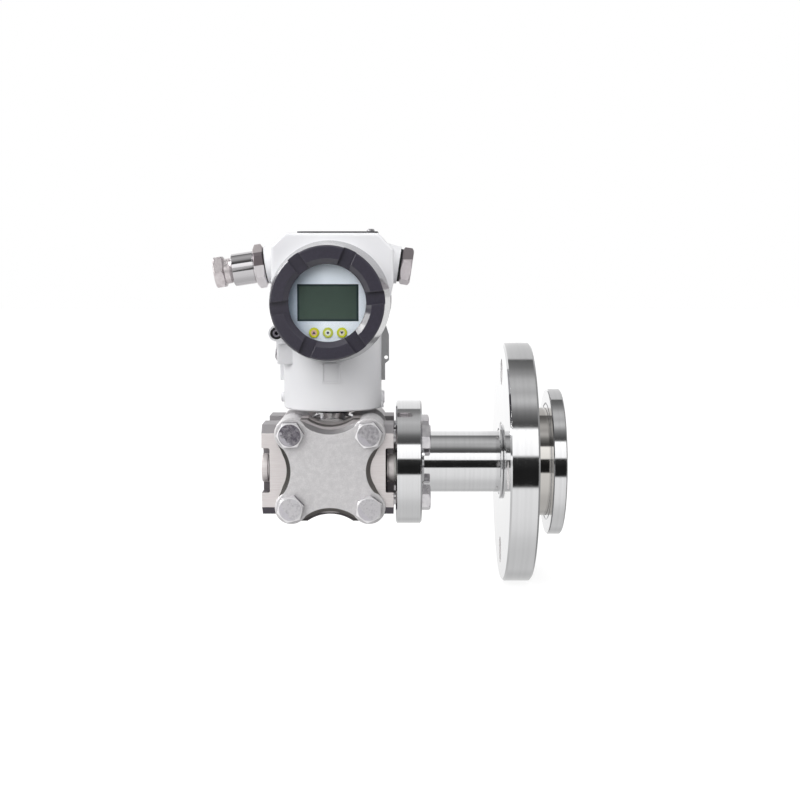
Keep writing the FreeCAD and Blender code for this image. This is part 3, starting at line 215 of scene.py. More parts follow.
# ---- Turned stainless steel ------------------------------------------------
# Flange, seal, tube and adapter are lathe-turned and polished bright. The tool
# leaves rings about the turning axis: fine grooves, faintly duller in bands.
def distance(tree, first, second):
    """Length of a vector with these two parts."""
    squares = calc(tree, "ADD", calc(tree, "MULTIPLY", first, first), calc(tree, "MULTIPLY", second, second))
    return calc(tree, "SQRT", squares)


def turned_steel(name, axis, tint="#d2d2d3", shine=0.055, dull=0.095, centre=(0.0, 0.0, 0.0)):
    """Steel turned about this axis through the centre point."""
    made, tree, bsdf = material(name, Metallic=1.0)
    where = place(tree)[0]
    shifted = add(tree, "ShaderNodeVectorMath", {0: where, 1: centre}, operation="SUBTRACT")
    split = add(tree, "ShaderNodeSeparateXYZ", {0: shifted.outputs[0]})
    across = [split.outputs[i] for i in range(3) if i != axis]
    radius = distance(tree, across[0], across[1])
    rings = add(tree, "ShaderNodeCombineXYZ", {"X": split.outputs[axis], "Y": radius}).outputs[0]
    bands = noise(tree, rings, 1.6 * MM, 4, 0.6)
    grooves = noise(tree, rings, 0.12 * MM, 1)
    smear = noise(tree, where, 9 * MM, 3)
    rough = calc(tree, "MULTIPLY", remap(tree, bands, 0.3, 0.75, shine, dull),
                 remap(tree, smear, 0.3, 0.7, 0.9, 1.2))
    bright = colour(tint)
    duller = tuple(c * 0.95 for c in bright[:3]) + (1.0,)
    surface(tree, bsdf, blend(tree, remap(tree, bands, 0.35, 0.7, 0.0, 1.0), bright, duller), rough,
            grooves, 0.0012 * MM, 0.25 * MM)
    return made


steel_x = turned_steel("turned_stainless", 0)
dress(steel_x, "adapter_plate", "neck_tube", "capillary_tube")


# ---- Loose process flange --------------------------------------------------
# A turned stainless ring that turns freely on the seal's spigot. Its four bolt
# holes are only drilled, so their walls stay satin inside the bright disc.
FLANGE_HOLE_AT = 62.5 * MM       # half of the bolt circle
FLANGE_HOLE_WALL = 9.2 * MM      # just outside the holes' radius
flange_steel = turned_steel("turned_stainless_flange", 0)
tree = flange_steel.node_tree
bsdf = tree.nodes["Principled BSDF"]
y, z = place(tree)[2:]
walls = []
for one, other in ((y, z), (z, y)):
    off = calc(tree, "SUBTRACT", calc(tree, "ABSOLUTE", one), FLANGE_HOLE_AT)
    walls.append(below(tree, distance(tree, off, other), FLANGE_HOLE_WALL))
wall = calc(tree, "MAXIMUM", walls[0], walls[1])
bright_tone = bsdf.inputs["Base Color"].links[0].from_socket
tree.links.new(blend(tree, wall, bright_tone, colour("#eceaea")), bsdf.inputs["Base Color"])
polish = bsdf.inputs["Roughness"].links[0].from_socket
tree.links.new(calc(tree, "ADD", polish, calc(tree, "MULTIPLY", wall, 0.4)), bsdf.inputs["Roughness"])
tree.links.new(remap(tree, wall, 0.0, 1.0, 1.0, 0.3), bsdf.inputs["Metallic"])
dress(flange_steel, "process_flange")


# ---- Diaphragm seal --------------------------------------------------------
# The seal's disc is turned bright like the flange; its hub behind the disc has
# a slightly warmer, browner tone. The thin diaphragms are rolled, rippled foil.
HUB_START, HUB_END = -21.3 * MM, -9.2 * MM
seal_steel = turned_steel("turned_stainless_seal", 0)
tree = seal_steel.node_tree
bsdf = tree.nodes["Principled BSDF"]
x = place(tree)[1]
hub = both(tree, beyond(tree, x, HUB_START), below(tree, x, HUB_END))
plain_tone = bsdf.inputs["Base Color"].links[0].from_socket
tree.links.new(blend(tree, hub, plain_tone, colour("#bcb9b5")), bsdf.inputs["Base Color"])
dress(seal_steel, "seal_body")
foil = turned_steel("rolled_foil", 0, "#c9c7c2", shine=0.22, dull=0.3)
dress(foil, "process_diaphragm")


# ---- Sensor capsule --------------------------------------------------------
# The round cell between the castings is turned about Y and left satin. Its two
# isolating diaphragms are the same foil as the seal's.
module_axis = (MODULE_X, 0.0, 0.0)
steel_y = turned_steel("turned_stainless_cell", 1, shine=0.16, dull=0.24, centre=module_axis)
dress(steel_y, "sensor_capsule")
foil_y = turned_steel("rolled_foil_cell", 1, "#c9c7c2", shine=0.22, dull=0.3, centre=module_axis)
dress(foil_y, "high_diaphragm", "low_diaphragm")


# ---- Weld collar of the seal -----------------------------------------------
# Where the tube meets the seal's spigot, a dressed weld collar stands out just
# before the flange. Geometry Nodes sweep its rounded section round the axis.
COLLAR_SIZES = (
    ("Radius", 25.9 * MM),
    ("Inner radius", 23.0 * MM),
    ("Length", 1.5 * MM),
    ("Rounding", 0.35 * MM),
    ("End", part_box("process_flange")[0].x - 0.15 * MM))

collar_tree = bpy.data.node_groups.new("weld_collar", "GeometryNodeTree")
for label, value in COLLAR_SIZES:
    socket = collar_tree.interface.new_socket(label, in_out="INPUT", socket_type="NodeSocketFloat")
    socket.default_value = value
collar_tree.interface.new_socket("Geometry", in_out="OUTPUT", socket_type="NodeSocketGeometry")
given = add(collar_tree, "NodeGroupInput").outputs
radii_sum = calc(collar_tree, "ADD", given["Radius"], given["Inner radius"])
path = add(collar_tree, "GeometryNodeCurvePrimitiveCircle", {
    "Resolution": 180, "Radius": calc(collar_tree, "MULTIPLY", radii_sum, 0.5)})
section = add(collar_tree, "GeometryNodeCurvePrimitiveQuadrilateral", {
    "Width": calc(collar_tree, "SUBTRACT", given["Radius"], given["Inner radius"]),
    "Height": given["Length"]})
rounded = add(collar_tree, "GeometryNodeFilletCurve", {
    "Curve": section.outputs[0], "Radius": given["Rounding"], "Count": 4}, mode="POLY")
swept = add(collar_tree, "GeometryNodeCurveToMesh", {
    "Curve": path.outputs[0], "Profile Curve": rounded.outputs[0]})
half_length = calc(collar_tree, "MULTIPLY", given["Length"], 0.5)
middle_at = add(collar_tree, "ShaderNodeCombineXYZ", {
    "X": calc(collar_tree, "SUBTRACT", given["End"], half_length)})
laid = add(collar_tree, "GeometryNodeTransform", {
    "Geometry": swept.outputs[0], "Translation": middle_at.outputs[0], "Rotation": (0.0, math.pi / 2, 0.0)})
real = add(collar_tree, "GeometryNodeRealizeInstances", {0: laid.outputs[0]})
painted = add(collar_tree, "GeometryNodeSetMaterial", {"Geometry": real.outputs[0], "Material": steel_x})
add(collar_tree, "NodeGroupOutput", {0: painted.outputs[0]})


def grown(name, group):
    """The mesh that a Geometry Nodes tree makes, as a plain object at the origin."""
    carrier = bpy.data.objects.new(name + "_carrier", bpy.data.meshes.new(name + "_carrier"))
    bpy.context.collection.objects.link(carrier)
    carrier.modifiers.new("grow", "NODES").node_group = group
    ready = carrier.evaluated_get(bpy.context.evaluated_depsgraph_get())
    mesh = bpy.data.meshes.new_from_object(ready)
    mesh.name = name
    bpy.data.objects.remove(carrier)
    made = bpy.data.objects.new(name, mesh)
    bpy.context.collection.objects.link(made)
    return made


collar = grown("weld_collar", collar_tree)
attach(collar, "base")


# ---- Process flange castings -----------------------------------------------
# Investment-cast stainless steel: the lobed plate is bead-blasted, the ears behind it are milled along X.
# Feet, hollows, ledge, bevels and notches carry painted shade set by their place, darker where they lie deep
# or face down.
BOLT_X, BOLT_Z, LOBE_R = 25.9 * MM, 24.7 * MM, 10.9 * MM
PLATE_BACK, SLOPE_END = 42.2 * MM, 45.9 * MM     # depths from the module's middle
BEVEL_SIDE, BEVEL_RISE = 33 * MM, 24.8 * MM
WAIST_HALF, SCOOP_RISE, SCOOP_START = 24 * MM, 27.6 * MM, 30 * MM
LEDGE_RISE, LEDGE_DEPTH = 27.3 * MM, 41.9 * MM
EAR_FRONT, NOTCH_START, NOTCH_HALF = 42.0 * MM, 29.2 * MM, 15.0 * MM
NOTCH_RIGHT, NOTCH_LEFT = 36.8 * MM, 40.1 * MM
PORT_AT, PORT_BOSS_R = 27 * MM, 9.95 * MM
GAP_WIDTH = 1.1 * MM

cast, tree, bsdf = material("blasted_cast_stainless", Metallic=0.6)
where, x, y, z = place(tree)
depth = calc(tree, "ABSOLUTE", y)
across = calc(tree, "SUBTRACT", x, MODULE_X)
side = calc(tree, "ABSOLUTE", across)
rise = calc(tree, "ABSOLUTE", z)
normal = add(tree, "ShaderNodeNewGeometry").outputs["Normal"]
facing_y = calc(tree, "ABSOLUTE", add(tree, "ShaderNodeSeparateXYZ", {0: normal}).outputs[1])

to_bolt = distance(tree, calc(tree, "SUBTRACT", side, BOLT_X), calc(tree, "SUBTRACT", rise, BOLT_Z))
off_lobe = beyond(tree, to_bolt, LOBE_R + 0.1 * MM)
slope = both(tree, beyond(tree, depth, PLATE_BACK), off_lobe, below(tree, depth, SLOPE_END),
             below(tree, facing_y, 0.95, 0.04))
milled = both(tree, below(tree, depth, PLATE_BACK), off_lobe)
bevel_up = both(tree, milled, beyond(tree, z, BEVEL_RISE), beyond(tree, side, BEVEL_SIDE))
bevel_down = both(tree, milled, below(tree, z, -BEVEL_RISE), beyond(tree, side, BEVEL_SIDE))
waist = both(tree, milled, below(tree, side, WAIST_HALF))
scoop = both(tree, waist, beyond(tree, rise, SCOOP_RISE), beyond(tree, depth, SCOOP_START),
             below(tree, depth, LEDGE_DEPTH))
ledge = both(tree, waist, beyond(tree, rise, LEDGE_RISE), beyond(tree, depth, LEDGE_DEPTH))
notch_end = add(tree, "ShaderNodeMix", {
    0: beyond(tree, across, 0.0), 2: NOTCH_LEFT, 3: NOTCH_RIGHT}, data_type="FLOAT").outputs[0]
past_wall = calc(tree, "SUBTRACT", side, notch_end)
to_port = distance(tree, calc(tree, "SUBTRACT", depth, PORT_AT), z)
in_ear = both(tree, below(tree, depth, EAR_FRONT), below(tree, rise, NOTCH_HALF))
notch = both(tree, in_ear, beyond(tree, depth, NOTCH_START), beyond(tree, past_wall, 0.0),
             beyond(tree, to_port, PORT_BOSS_R))
gap = both(tree, in_ear, beyond(tree, past_wall, -0.1 * MM), below(tree, past_wall, GAP_WIDTH))

pebble = noise(tree, where, 0.6 * MM, 4, 0.6)
mottle = noise(tree, where, 3.5 * MM, 3, 0.5)
along_x = add(tree, "ShaderNodeVectorMath", {0: where, 1: (0.03, 1.0, 1.0)}, operation="MULTIPLY").outputs[0]
strokes = noise(tree, along_x, 0.35 * MM, 3, 0.6)
height = add(tree, "ShaderNodeMix", {0: milled, 2: pebble, 3: strokes}, data_type="FLOAT").outputs[0]
height = calc(tree, "MULTIPLY", height, remap(tree, milled, 0.0, 1.0, 1.0, 0.15))
base = blend(tree, remap(tree, pebble, 0.35, 0.65, 0.0, 1.0), colour("#d6d4d5"), colour("#e6e4e5"))
base = blend(tree, remap(tree, mottle, 0.35, 0.65, 0.0, 0.5), base, colour("#cbc9ca"))
cut = blend(tree, remap(tree, strokes, 0.35, 0.65, 0.0, 1.0), colour("#e3dcdb"), colour("#ebe6e5"))
base = blend(tree, milled, base, cut)
grain_in_shade = remap(tree, pebble, 0.3, 0.7, 0.0, 1.0)
# painted shade on the plate's sloping walls, darkest on the left and lighter near the top
base = blend(tree, slope, base, blend(tree, grain_in_shade, colour("#5f5c59"), colour("#6d6a67")))
base = blend(tree, both(tree, slope, below(tree, across, -18 * MM)), base, colour("#43413f"))
base = blend(tree, both(tree, slope, beyond(tree, z, 22 * MM)), base, colour("#918f90"))
# painted shade on the ledge, much darker at its bottom
base = blend(tree, ledge, base, colour("#b5b0b1"))
base = blend(tree, both(tree, ledge, below(tree, z, -28.3 * MM)), base, colour("#4a4648"))
# painted shade in the scoops
base = blend(tree, scoop, base, blend(tree, grain_in_shade, colour("#625f5d"), colour("#736f6d")))
# painted shade on the bevels, the lower ones darker
base = blend(tree, bevel_up, base, colour("#a3a0a2"))
base = blend(tree, bevel_down, base, colour("#57525a"))
# painted shade in the notches, darker in their lower half, and darkest in the gap by the notch wall
notch_painted_shade = blend(tree, beyond(tree, z, 0.0), colour("#757073"), colour("#959092"))
base = blend(tree, notch, base, notch_painted_shade)
base = blend(tree, gap, base, colour("#3c3639"))
surface(tree, bsdf, base, remap(tree, pebble, 0.3, 0.7, 0.5, 0.6), height, 0.08 * MM, 0.45 * MM)
dress(cast, "high_side_flange", "low_side_flange")


# ---- Small bolts, nuts and screws ------------------------------------------
# Stainless fasteners. The adapter's bolts are turned from bright bar; the nuts,
# plugs and small screws are hot-forged and tumbled, so their faces are blotchy.
def fastener(name, light, deep, shine, dull, grain=2.4 * MM, pits=0.05 * MM):
    """Blotchy steel between two tones and two roughnesses."""
    made, tree, bsdf = material(name, Metallic=1.0)
    where = place(tree)[0]
    blotch = noise(tree, where, grain, 4, 0.62)
    tone = blend(tree, remap(tree, blotch, 0.36, 0.64, 0.0, 1.0), colour(light), colour(deep))
    surface(tree, bsdf, tone, remap(tree, blotch, 0.3, 0.7, shine, dull),
            noise(tree, where, 1.2 * MM, 3), pits, 0.35 * MM)
    return made


bright_bar = fastener("bright_bar_stainless", "#dedcde", "#cbc9cc", 0.26, 0.34, 5 * MM, 0.008 * MM)
dress(bright_bar, "adapter_bolts")
forged = fastener("forged_stainless", "#dcdadc", "#b0adb2", 0.3, 0.42)
dress(forged, "flange_nuts", "side_plug", "neck_set_screws", "earth_screw", "earth_clamp", "plate_screw")


# ---- Lock screws of the covers ---------------------------------------------
# Small socket screws that pin each cover. The hexagon socket carries painted shade, near black, and the rim
# of the head is painted near black as shade of the gap round it.
SOCKET_R, RIM_R = 1.25 * MM, 2.45 * MM
lock, tree, bsdf = material("lock_screw_painted_shade", Metallic=0.8)
where, x, y, z = place(tree)
lock_low, lock_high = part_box("cover_lock_screws")
lock_middle = (lock_low + lock_high) / 2
from_lock = distance(tree, calc(tree, "SUBTRACT", x, lock_middle.x), calc(tree, "SUBTRACT", z, lock_middle.z))
tumbled = blend(tree, noise(tree, where, 0.7 * MM), colour("#b5b0ba"), colour("#6f6a76"))
# painted shade: the socket and the rim of the head near black
base = blend(tree, below(tree, from_lock, SOCKET_R), tumbled, colour("#1b1a1e"))
base = blend(tree, beyond(tree, from_lock, RIM_R), base, colour("#141416"))
surface(tree, bsdf, base, remap(tree, noise(tree, where, 0.9 * MM), 0.3, 0.7, 0.32, 0.45),
        noise(tree, where, 0.5 * MM), 0.02 * MM, 0.2 * MM)
dress(lock, "cover_lock_screws")


# ---- Long bolts of the module ----------------------------------------------
# Forged bolts that clamp the capsule between the castings. The upper heads carry painted shade, the upper
# left one darkest, and each head has a pale crescent of painted highlight at its lower left. The chamfers
# carry painted highlight and the right sides of the heads painted shade. The threads at the ends have 1.75 mm
# pitch.
HEAD_FLAT_R, HEAD_SIDE_R = 7.35 * MM, 7.6 * MM
HEAD_FACE_Y, HEAD_FOOT_Y, THREAD_START_Y = -50.9 * MM, -46 * MM, 54 * MM
THREAD_PITCH = 1.75 * MM
heads, tree, bsdf = material("forged_threaded_stainless", Metallic=0.85)
where, x, y, z = place(tree)
across = calc(tree, "SUBTRACT", x, MODULE_X)
from_bolt_x = calc(tree, "SUBTRACT", across, calc(tree, "MULTIPLY", calc(tree, "SIGN", across), BOLT_X))
from_bolt_z = calc(tree, "SUBTRACT", z, calc(tree, "MULTIPLY", calc(tree, "SIGN", z), BOLT_Z))
to_bolt = distance(tree, from_bolt_x, from_bolt_z)
blotch = noise(tree, where, 2.6 * MM, 5, 0.7)
upper_shade_mask, left = beyond(tree, z, 0.0), below(tree, across, 0.0)
# painted shade: the upper heads darker, the upper left darkest
head_painted_shade = calc(tree, "ADD", calc(tree, "MULTIPLY", upper_shade_mask, 0.34),
                 calc(tree, "MULTIPLY", both(tree, upper_shade_mask, left), 0.46))
tone = calc(tree, "ADD", head_painted_shade, remap(tree, blotch, 0.3, 0.7, -0.3, 0.42))
wander = calc(tree, "MULTIPLY", calc(tree, "SUBTRACT", noise(tree, where, 3 * MM), 0.5), 6 * MM)
corner = calc(tree, "ADD", calc(tree, "MULTIPLY", calc(tree, "ADD", from_bolt_x, from_bolt_z), -0.7), wander)
crescent_highlight = both(tree, beyond(tree, corner, 3.6 * MM, 0.8 * MM), below(tree, to_bolt, 7.1 * MM))
chamfer_highlight = both(tree, beyond(tree, to_bolt, HEAD_FLAT_R), below(tree, y, HEAD_FACE_Y))
right_side_shade = both(tree, beyond(tree, to_bolt, HEAD_SIDE_R), beyond(tree, y, HEAD_FACE_Y),
                  below(tree, y, HEAD_FOOT_Y), beyond(tree, from_bolt_x, 2 * MM, 3 * MM))
base = blend(tree, tone, colour("#e9e7ea"), colour("#6f6a74"))
# painted highlight on the crescent and the chamfer, painted shade on the right sides
base = blend(tree, calc(tree, "MULTIPLY", crescent_highlight, 0.75), base, colour("#e2dfe6"))
base = blend(tree, chamfer_highlight, base, colour("#f6f4f6"))
base = blend(tree, right_side_shade, base, colour("#6f6b70"))
# at a scale of 1 the wave texture repeats every 0.314
thread = add(tree, "ShaderNodeTexWave", {
    "Vector": where, "Scale": 0.314 / THREAD_PITCH}, bands_direction="Y").outputs["Fac"]
relief = add(tree, "ShaderNodeMix", {
    0: beyond(tree, y, THREAD_START_Y), 2: noise(tree, where, 1.6 * MM, 3),
    3: calc(tree, "MULTIPLY", thread, 6.0)}, data_type="FLOAT").outputs[0]
surface(tree, bsdf, base, remap(tree, blotch, 0.3, 0.7, 0.3, 0.45), relief, 0.06 * MM, 0.35 * MM)
dress(heads, "flange_bolts")


# ---- Cable gland -----------------------------------------------------------
# A nickel-plated body with a bright turned barrel and a plain hexagon, screwed into a boss that slopes down
# to the left. The hexagon's facets carry painted light and shade by height: the lower ones light, the one
# above the axis dark, the top one mid-grey. The nut is cut from drawn hexagon bar.
GLAND_TILT = math.radians(8.6)
GLAND_AXIS_RISE = 11.9 * MM      # the axis above the gasket's lowest point
BARREL_R = 11.6 * MM
FACET_TURN, FACET_TOP = 0.0, 9.0 * MM
gland, tree, bsdf = material("nickel_bright_gland", Metallic=1.0)
where, x, y, z = place(tree)
gasket_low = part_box("gland_gasket")[0]
along = calc(tree, "SUBTRACT", x, gasket_low.x)
climb = calc(tree, "MULTIPLY", along, math.tan(GLAND_TILT))
axis_z = calc(tree, "ADD", gasket_low.z + GLAND_AXIS_RISE, climb)
from_axis = calc(tree, "SUBTRACT", z, axis_z)
on_hex = beyond(tree, distance(tree, y, from_axis), BARREL_R)
wipe = noise(tree, where, 3 * MM, 3)
# painted light and shade on the hexagon's facets, by height
top_facet = blend(tree, wipe, colour("#bdb5b6"), colour("#cdc6c6"))
upper_facet_shade = blend(tree, beyond(tree, from_axis, FACET_TOP, 0.4 * MM), colour("#7d7578"), top_facet)
facet_light_and_shade = blend(tree, beyond(tree, from_axis, FACET_TURN, 0.4 * MM), colour("#f2eef0"), upper_facet_shade)
rough = calc(tree, "ADD", remap(tree, wipe, 0.3, 0.7, 0.06, 0.09), calc(tree, "MULTIPLY", on_hex, 0.38))
surface(tree, bsdf, blend(tree, on_hex, colour("#c0bec0"), facet_light_and_shade), rough,
        noise(tree, where, 0.4 * MM, 2), 0.003 * MM, 0.3 * MM)
dress(gland, "gland_body")

nut, tree, bsdf = material("plain_hexagon_nut", Metallic=1.0)
where = place(tree)[0]
wipe = noise(tree, where, 3 * MM, 3)
drawn = blend(tree, remap(tree, wipe, 0.35, 0.65, 0.0, 1.0), colour("#e2dcdd"), colour("#d0c9ca"))
surface(tree, bsdf, drawn, remap(tree, wipe, 0.3, 0.7, 0.36, 0.46),
        noise(tree, where, 0.4 * MM, 2), 0.004 * MM, 0.3 * MM)
dress(nut, "gland_nut")


# ---- Conduit plug ----------------------------------------------------------
# A hexagon plug from drawn stainless bar closes the right conduit boss. Its upper facet carries painted
# shade, a darker tone.
UPPER_FACET = 4.6 * MM           # above the middle of the plug
plug, tree, bsdf = material("plain_hexagon_plug", Metallic=0.8)
where, x, y, z = place(tree)
plug_low, plug_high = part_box("conduit_plug")
upper_shade_mask = beyond(tree, z, (plug_low.z + plug_high.z) / 2 + UPPER_FACET)
drawn = noise(tree, where, 2 * MM, 4)
# painted shade on the upper facet
base = blend(tree, upper_shade_mask, blend(tree, drawn, colour("#dfd8db"), colour("#cfc8cb")), colour("#8d8789"))
surface(tree, bsdf, base, remap(tree, drawn, 0.3, 0.7, 0.38, 0.48), drawn, 0.006 * MM, 0.3 * MM)
dress(plug, "conduit_plug")


# ---- Rubber, gaskets and plastics ------------------------------------------
# Seal rings are black rubber, the gaskets of the module white PTFE. The
# display's case and the potted electronics are moulded in dark plastic.
def plain(name, base, second, rough, grain, depth, **shader):
    """A faintly mottled material of one finish."""
    made, tree, bsdf = material(name, **shader)
    where = place(tree)[0]
    mottle = noise(tree, where, grain, 3)
    surface(tree, bsdf, blend(tree, mottle, colour(base), colour(second)),
            remap(tree, mottle, 0.3, 0.7, rough * 0.9, rough * 1.1), mottle, depth)
    return made


rubber = plain("black_rubber", "#121214", "#1d1d20", 0.65, 0.6 * MM, 0.02 * MM)
dress(rubber, "neck_ring", "gland_gasket", "gland_seal", "plug_gasket", "window_gasket",
      "front_cover_seal", "rear_cover_seal", "cover_lock_rings")
ptfe = plain("white_ptfe", "#d2d2ce", "#deded9", 0.5, 0.8 * MM, 0.01 * MM)
dress(ptfe, "capsule_gaskets", "port_gaskets")
case = plain("moulded_black_case", "#1d1f24", "#26282e", 0.5, 0.7 * MM, 0.02 * MM)
dress(case, "electronics_module", "display_case", "window_retainer")


# ---- Terminals -------------------------------------------------------------
# The terminal block behind the rear cover is pressed phenolic, dark green. Its
# clamping screws are plated brass.
phenolic = plain("green_phenolic", "#1c3b2c", "#234a37", 0.45, 0.7 * MM, 0.02 * MM)
dress(phenolic, "terminal_block")
brass = plain("plated_brass", "#b9b3a5", "#cfc8b6", 0.3, 0.8 * MM, 0.01 * MM, Metallic=1.0)
dress(brass, "terminal_screws")


# ---- Top plate -------------------------------------------------------------
# A thin bare plate of rolled steel on the housing's top, held by one screw,
# about which it swivels.
rolled = plain("rolled_plate_steel", "#5d5d60", "#727276", 0.35, 0.5 * MM, 0.006 * MM, Metallic=1.0)
dress(rolled, "top_plate")


# ---- Face plate ------------------------------------------------------------
# A printed aluminium plate behind the window, silver-blue and finely grained.
# A painted shadow of the cover's rim makes it darker and bluer towards its left side.
face, tree, bsdf = material("printed_aluminium", Metallic=0.0, Roughness=0.4)
where, x, y, z = place(tree)
face_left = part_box("display_face")[0].x
rim_shadow_fade = remap(tree, x, face_left + 2 * MM, face_left + 26 * MM, 0.0, 1.0)
grain = noise(tree, where, 0.3 * MM, 2)
silver = blend(tree, rim_shadow_fade, colour("#8392a6"), colour("#f1f6ff"))
printed = blend(tree, remap(tree, grain, 0.3, 0.7, 0.0, 0.2), silver, colour("#edf1f6"))
surface(tree, bsdf, printed, remap(tree, grain, 0.3, 0.7, 0.36, 0.44))
dress(face, "display_face")


# ---- LCD -------------------------------------------------------------------
# A passive LCD that is switched off: grey-green glass with a darker, slightly
# blue frame round the cell.
screen, tree, bsdf = material("passive_lcd", Specular_IOR_Level=0.12)
where, x, y, z = place(tree)
lcd_low, lcd_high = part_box("lcd")
middle = (lcd_low + lcd_high) / 2
half = (lcd_high - lcd_low) / 2
inward_x = calc(tree, "SUBTRACT", half.x, calc(tree, "ABSOLUTE", calc(tree, "SUBTRACT", x, middle.x)))
inward_z = calc(tree, "SUBTRACT", half.z, calc(tree, "ABSOLUTE", calc(tree, "SUBTRACT", z, middle.z)))
inside_frame = remap(tree, calc(tree, "MINIMUM", inward_x, inward_z), 0.5 * MM, 1.7 * MM, 0.0, 1.0)
upwards = remap(tree, z, lcd_low.z, lcd_high.z, 0.0, 1.0)
cell = blend(tree, upwards, colour("#46534b"), colour("#424e47"))
surface(tree, bsdf, blend(tree, inside_frame, colour("#1c2a2e"), cell),
        remap(tree, noise(tree, where, 0.4 * MM, 2), 0.3, 0.7, 0.5, 0.56))
dress(screen, "lcd")


# ---- Keys ------------------------------------------------------------------
# Three moulded plastic keys below the LCD: a coloured ring round a paler middle
# with a plain printed sign.
def key_material(name, outer, inner, sign):
    """Moulding of one key; sign is up, dot or down."""
    made, tree, bsdf = material(name + "_moulding", Roughness=0.35, Coat_Weight=0.3)
    where, x, y, z = place(tree)
    node_low, node_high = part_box(name)
    centre = (node_low + node_high) / 2
    across = calc(tree, "ABSOLUTE", calc(tree, "SUBTRACT", x, centre.x))
    up = calc(tree, "SUBTRACT", z, centre.z)
    radius = distance(tree, across, up)
    if sign == "dot":
        inside = remap(tree, radius, 0.75 * MM, 0.95 * MM, 1.0, 0.0)
    else:
        pointing = calc(tree, "MULTIPLY", up, 1.0 if sign == "up" else -1.0)
        slant = calc(tree, "ADD", calc(tree, "MULTIPLY", across, 1.6), pointing)
        inside = both(tree, remap(tree, slant, 1.0 * MM, 1.15 * MM, 1.0, 0.0),
                      remap(tree, pointing, -0.95 * MM, -0.8 * MM, 0.0, 1.0))
    ring = remap(tree, radius, 1.6 * MM, 2.1 * MM, 0.0, 1.0)
    base = blend(tree, ring, colour(inner), colour(outer))
    surface(tree, bsdf, blend(tree, inside, base, colour("#3a3550")),
            remap(tree, noise(tree, where, 0.4 * MM, 2), 0.3, 0.7, 0.3, 0.4))
    dress(made, name)


key_material("key_left", "#cfcf1c", "#d7a99a", "up")
key_material("key_middle", "#c9cf48", "#e9ecdf", "dot")
key_material("key_right", "#cfd11c", "#e8dfc0", "down")


# ---- Window glass ----------------------------------------------------------
# A flat pane of float glass, clamped in the front cover by its gasket and ring.
# It lets shadow rays through, so it throws no shadow on the display behind it.
glass, tree, bsdf = material("float_glass", Roughness=0.0, IOR=1.5, Transmission_Weight=1.0)
where = place(tree)[0]
tint = blend(tree, noise(tree, where, 20 * MM), colour("#fafcfc"), colour("#f6f9fa"))
tree.links.new(tint, bsdf.inputs["Base Color"])
clear = add(tree, "ShaderNodeMixShader", {
    0: add(tree, "ShaderNodeLightPath").outputs["Is Shadow Ray"], 1: bsdf.outputs[0],
    2: add(tree, "ShaderNodeBsdfTransparent").outputs[0]})
tree.links.new(clear.outputs[0], tree.nodes["Material Output"].inputs["Surface"])
dress(glass, "window_glass")


# ---- Studio ----------------------------------------------------------------
# A pale floor just under the flange, and a surround that is white to the camera.
# The steel mirrors strips of light and shade that run along X, as soft boxes and
# black cards give them. The surround grows darker to the right.
floor_z = cad_box[0][2] - 0.2 * MM
floor_mesh = bpy.data.meshes.new("floor")
floor_mesh.from_pydata([(-6, -6, floor_z), (6, -6, floor_z), (6, 6, floor_z), (-6, 6, floor_z)],
                       [], [(0, 1, 2, 3)])
floor = bpy.data.objects.new("floor", floor_mesh)
bpy.context.collection.objects.link(floor)
pale, tree, bsdf = material("floor_paper", Roughness=0.9)
bsdf.inputs["Base Color"].default_value = colour("#9a9a9a")
bsdf.inputs["Emission Color"].default_value = (1, 1, 1, 1)
rays = add(tree, "ShaderNodeLightPath").outputs
tree.links.new(calc(tree, "MULTIPLY", rays["Is Camera Ray"], 0.8), bsdf.inputs["Emission Strength"])
floor_mesh.materials.append(pale)
floor.visible_glossy = False
floor.visible_transmission = False

world = bpy.data.worlds.new("studio")
bpy.context.scene.world = world
world.use_nodes = True
tree = world.node_tree
tree.nodes.clear()
direction = add(tree, "ShaderNodeTexCoord").outputs["Generated"]
split = add(tree, "ShaderNodeSeparateXYZ", {0: direction})
angle = calc(tree, "ARCTAN2", split.outputs["Z"], calc(tree, "MULTIPLY", split.outputs["Y"], -1.0))
ramp = add(tree, "ShaderNodeValToRGB", {"Fac": remap(tree, angle, -math.pi, math.pi, 0.0, 1.0)})
# angle above the horizon on the display side, and the level of light there
strips = [(-180, 1.25), (-158, 0.76), (-140, 0.68), (-128, 0.66), (-115, 0.78), (-85, 0.79), (-70, 0.86),
          (-60, 0.97), (-45, 1.06), (-17.2, 1.12), (-15.2, 0.02), (0, 0.018), (12, 0.04), (13.6, 1.45),
          (38.6, 1.7), (39.8, 0.12), (45, 0.1), (51, 0.13), (57, 0.22), (63, 0.42), (68, 0.54), (76, 0.6),
          (85, 0.7), (92, 0.63), (101, 0.55), (109, 0.34), (116, 0.28), (121.5, 0.22), (124, 1.08),
          (140, 1.13), (160, 1.17), (180, 1.25)]
elements = ramp.color_ramp.elements
while len(elements) > 1:
    elements.remove(elements[-1])
for i, (degrees, level) in enumerate(strips):
    spot = (degrees + 180) / 360
    stop = elements[0] if i == 0 else elements.new(spot)
    stop.position = spot
    stop.color = (level, level, level, 1)
fall = add(tree, "ShaderNodeMapRange", {
    "Value": split.outputs["X"], "From Min": 0.15, "From Max": 0.8, "To Min": 1.0, "To Max": 0.5},
    interpolation_type="SMOOTHSTEP").outputs[0]
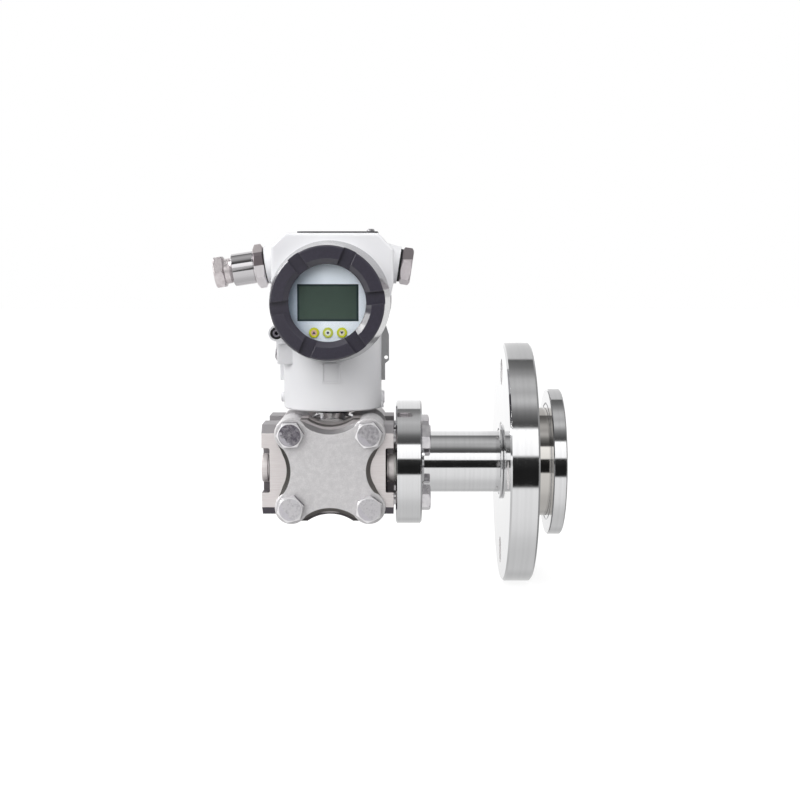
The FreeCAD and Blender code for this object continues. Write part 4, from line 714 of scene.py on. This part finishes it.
# to the right the high box behind is weaker and the low one in front stronger
rightward = remap(tree, split.outputs["X"], 0.062, 0.086, 0.0, 1.0)
high_behind = remap(tree, angle, math.radians(92), math.radians(100), 0.0, 1.0)
front_top = calc(tree, "MULTIPLY", remap(tree, angle, math.radians(44), math.radians(50), 0.0, 1.0),
                 remap(tree, angle, math.radians(66), math.radians(76), 1.0, 0.0))
fall = calc(tree, "MULTIPLY", fall, calc(tree, "SUBTRACT", 1.0, calc(
    tree, "MULTIPLY", calc(tree, "MULTIPLY", rightward, high_behind), 0.32)))
fall = calc(tree, "MULTIPLY", fall, calc(tree, "ADD", 1.0, calc(
    tree, "MULTIPLY", calc(tree, "MULTIPLY", rightward, front_top), 0.5)))
# the black card before the object ends on the left
card_end = calc(tree, "MULTIPLY", remap(tree, split.outputs["X"], -0.1, -0.112, 0.0, 0.75), remap(
    tree, calc(tree, "ABSOLUTE", calc(tree, "ADD", angle, math.radians(1.5))), math.radians(13.5),
    math.radians(14.5), 1.0, 0.0))
shade = blend(tree, card_end, ramp.outputs["Color"], (1.0, 1.0, 1.0, 1.0))
path = add(tree, "ShaderNodeLightPath")
surround = add(tree, "ShaderNodeBackground", {"Color": shade, "Strength": fall})
white = add(tree, "ShaderNodeBackground", {"Color": (1, 1, 1, 1), "Strength": 1.0})
seen = add(tree, "ShaderNodeMixShader", {
    0: path.outputs["Is Camera Ray"], 1: surround.outputs[0], 2: white.outputs[0]})
add(tree, "ShaderNodeOutputWorld", {"Surface": seen.outputs[0]})


def soft_light(name, place_at, aim, size, power):
    """A rectangular soft box that looks at a point."""
    light = bpy.data.lights.new(name, "AREA")
    light.shape = "RECTANGLE"
    light.size, light.size_y = size
    light.energy = power
    made = bpy.data.objects.new(name, light)
    made.location = place_at
    made.rotation_euler = (Vector(aim) - Vector(place_at)).to_track_quat("-Z", "Y").to_euler()
    bpy.context.collection.objects.link(made)
    return made


object_middle = (MODULE_X, 0, 0.06)
for name, place_at, power in (("front_fill", (-0.8, -1.25, 0.8), 8), ("top_fill", (0.1, -0.75, 1.3), 6),
                              ("right_fill", (1.2, -0.35, 0.15), 7)):
    fill = soft_light(name, place_at, object_middle, (0.9, 0.9), power)
    fill.visible_glossy = False
edge_strip = soft_light("edge_strip", (MODULE_X - 0.9, -0.05, 0.85), object_middle, (0.4, 0.5), 7)
edge_strip.visible_diffuse = False
soft_light("left_strip", (MODULE_X - 1.0, -0.14, 0.57), (MODULE_X, -0.03, 0.1), (0.18, 0.5), 2.6)

view = bpy.context.scene.view_settings
view.view_transform = "Standard"

# The camera looks along +Y, slightly down, from the display side.
camera = bpy.data.cameras.new("camera")
camera.lens = 58.64
camera.sensor_width = 36.0
camera.clip_start = 0.05
eye = bpy.data.objects.new("camera", camera)
eye.location = (MODULE_X + 0.04646, -0.8994, 0.1340)
eye.rotation_euler = (math.radians(90 - 5.787), 0, 0)
bpy.context.collection.objects.link(eye)
bpy.context.scene.camera = eye
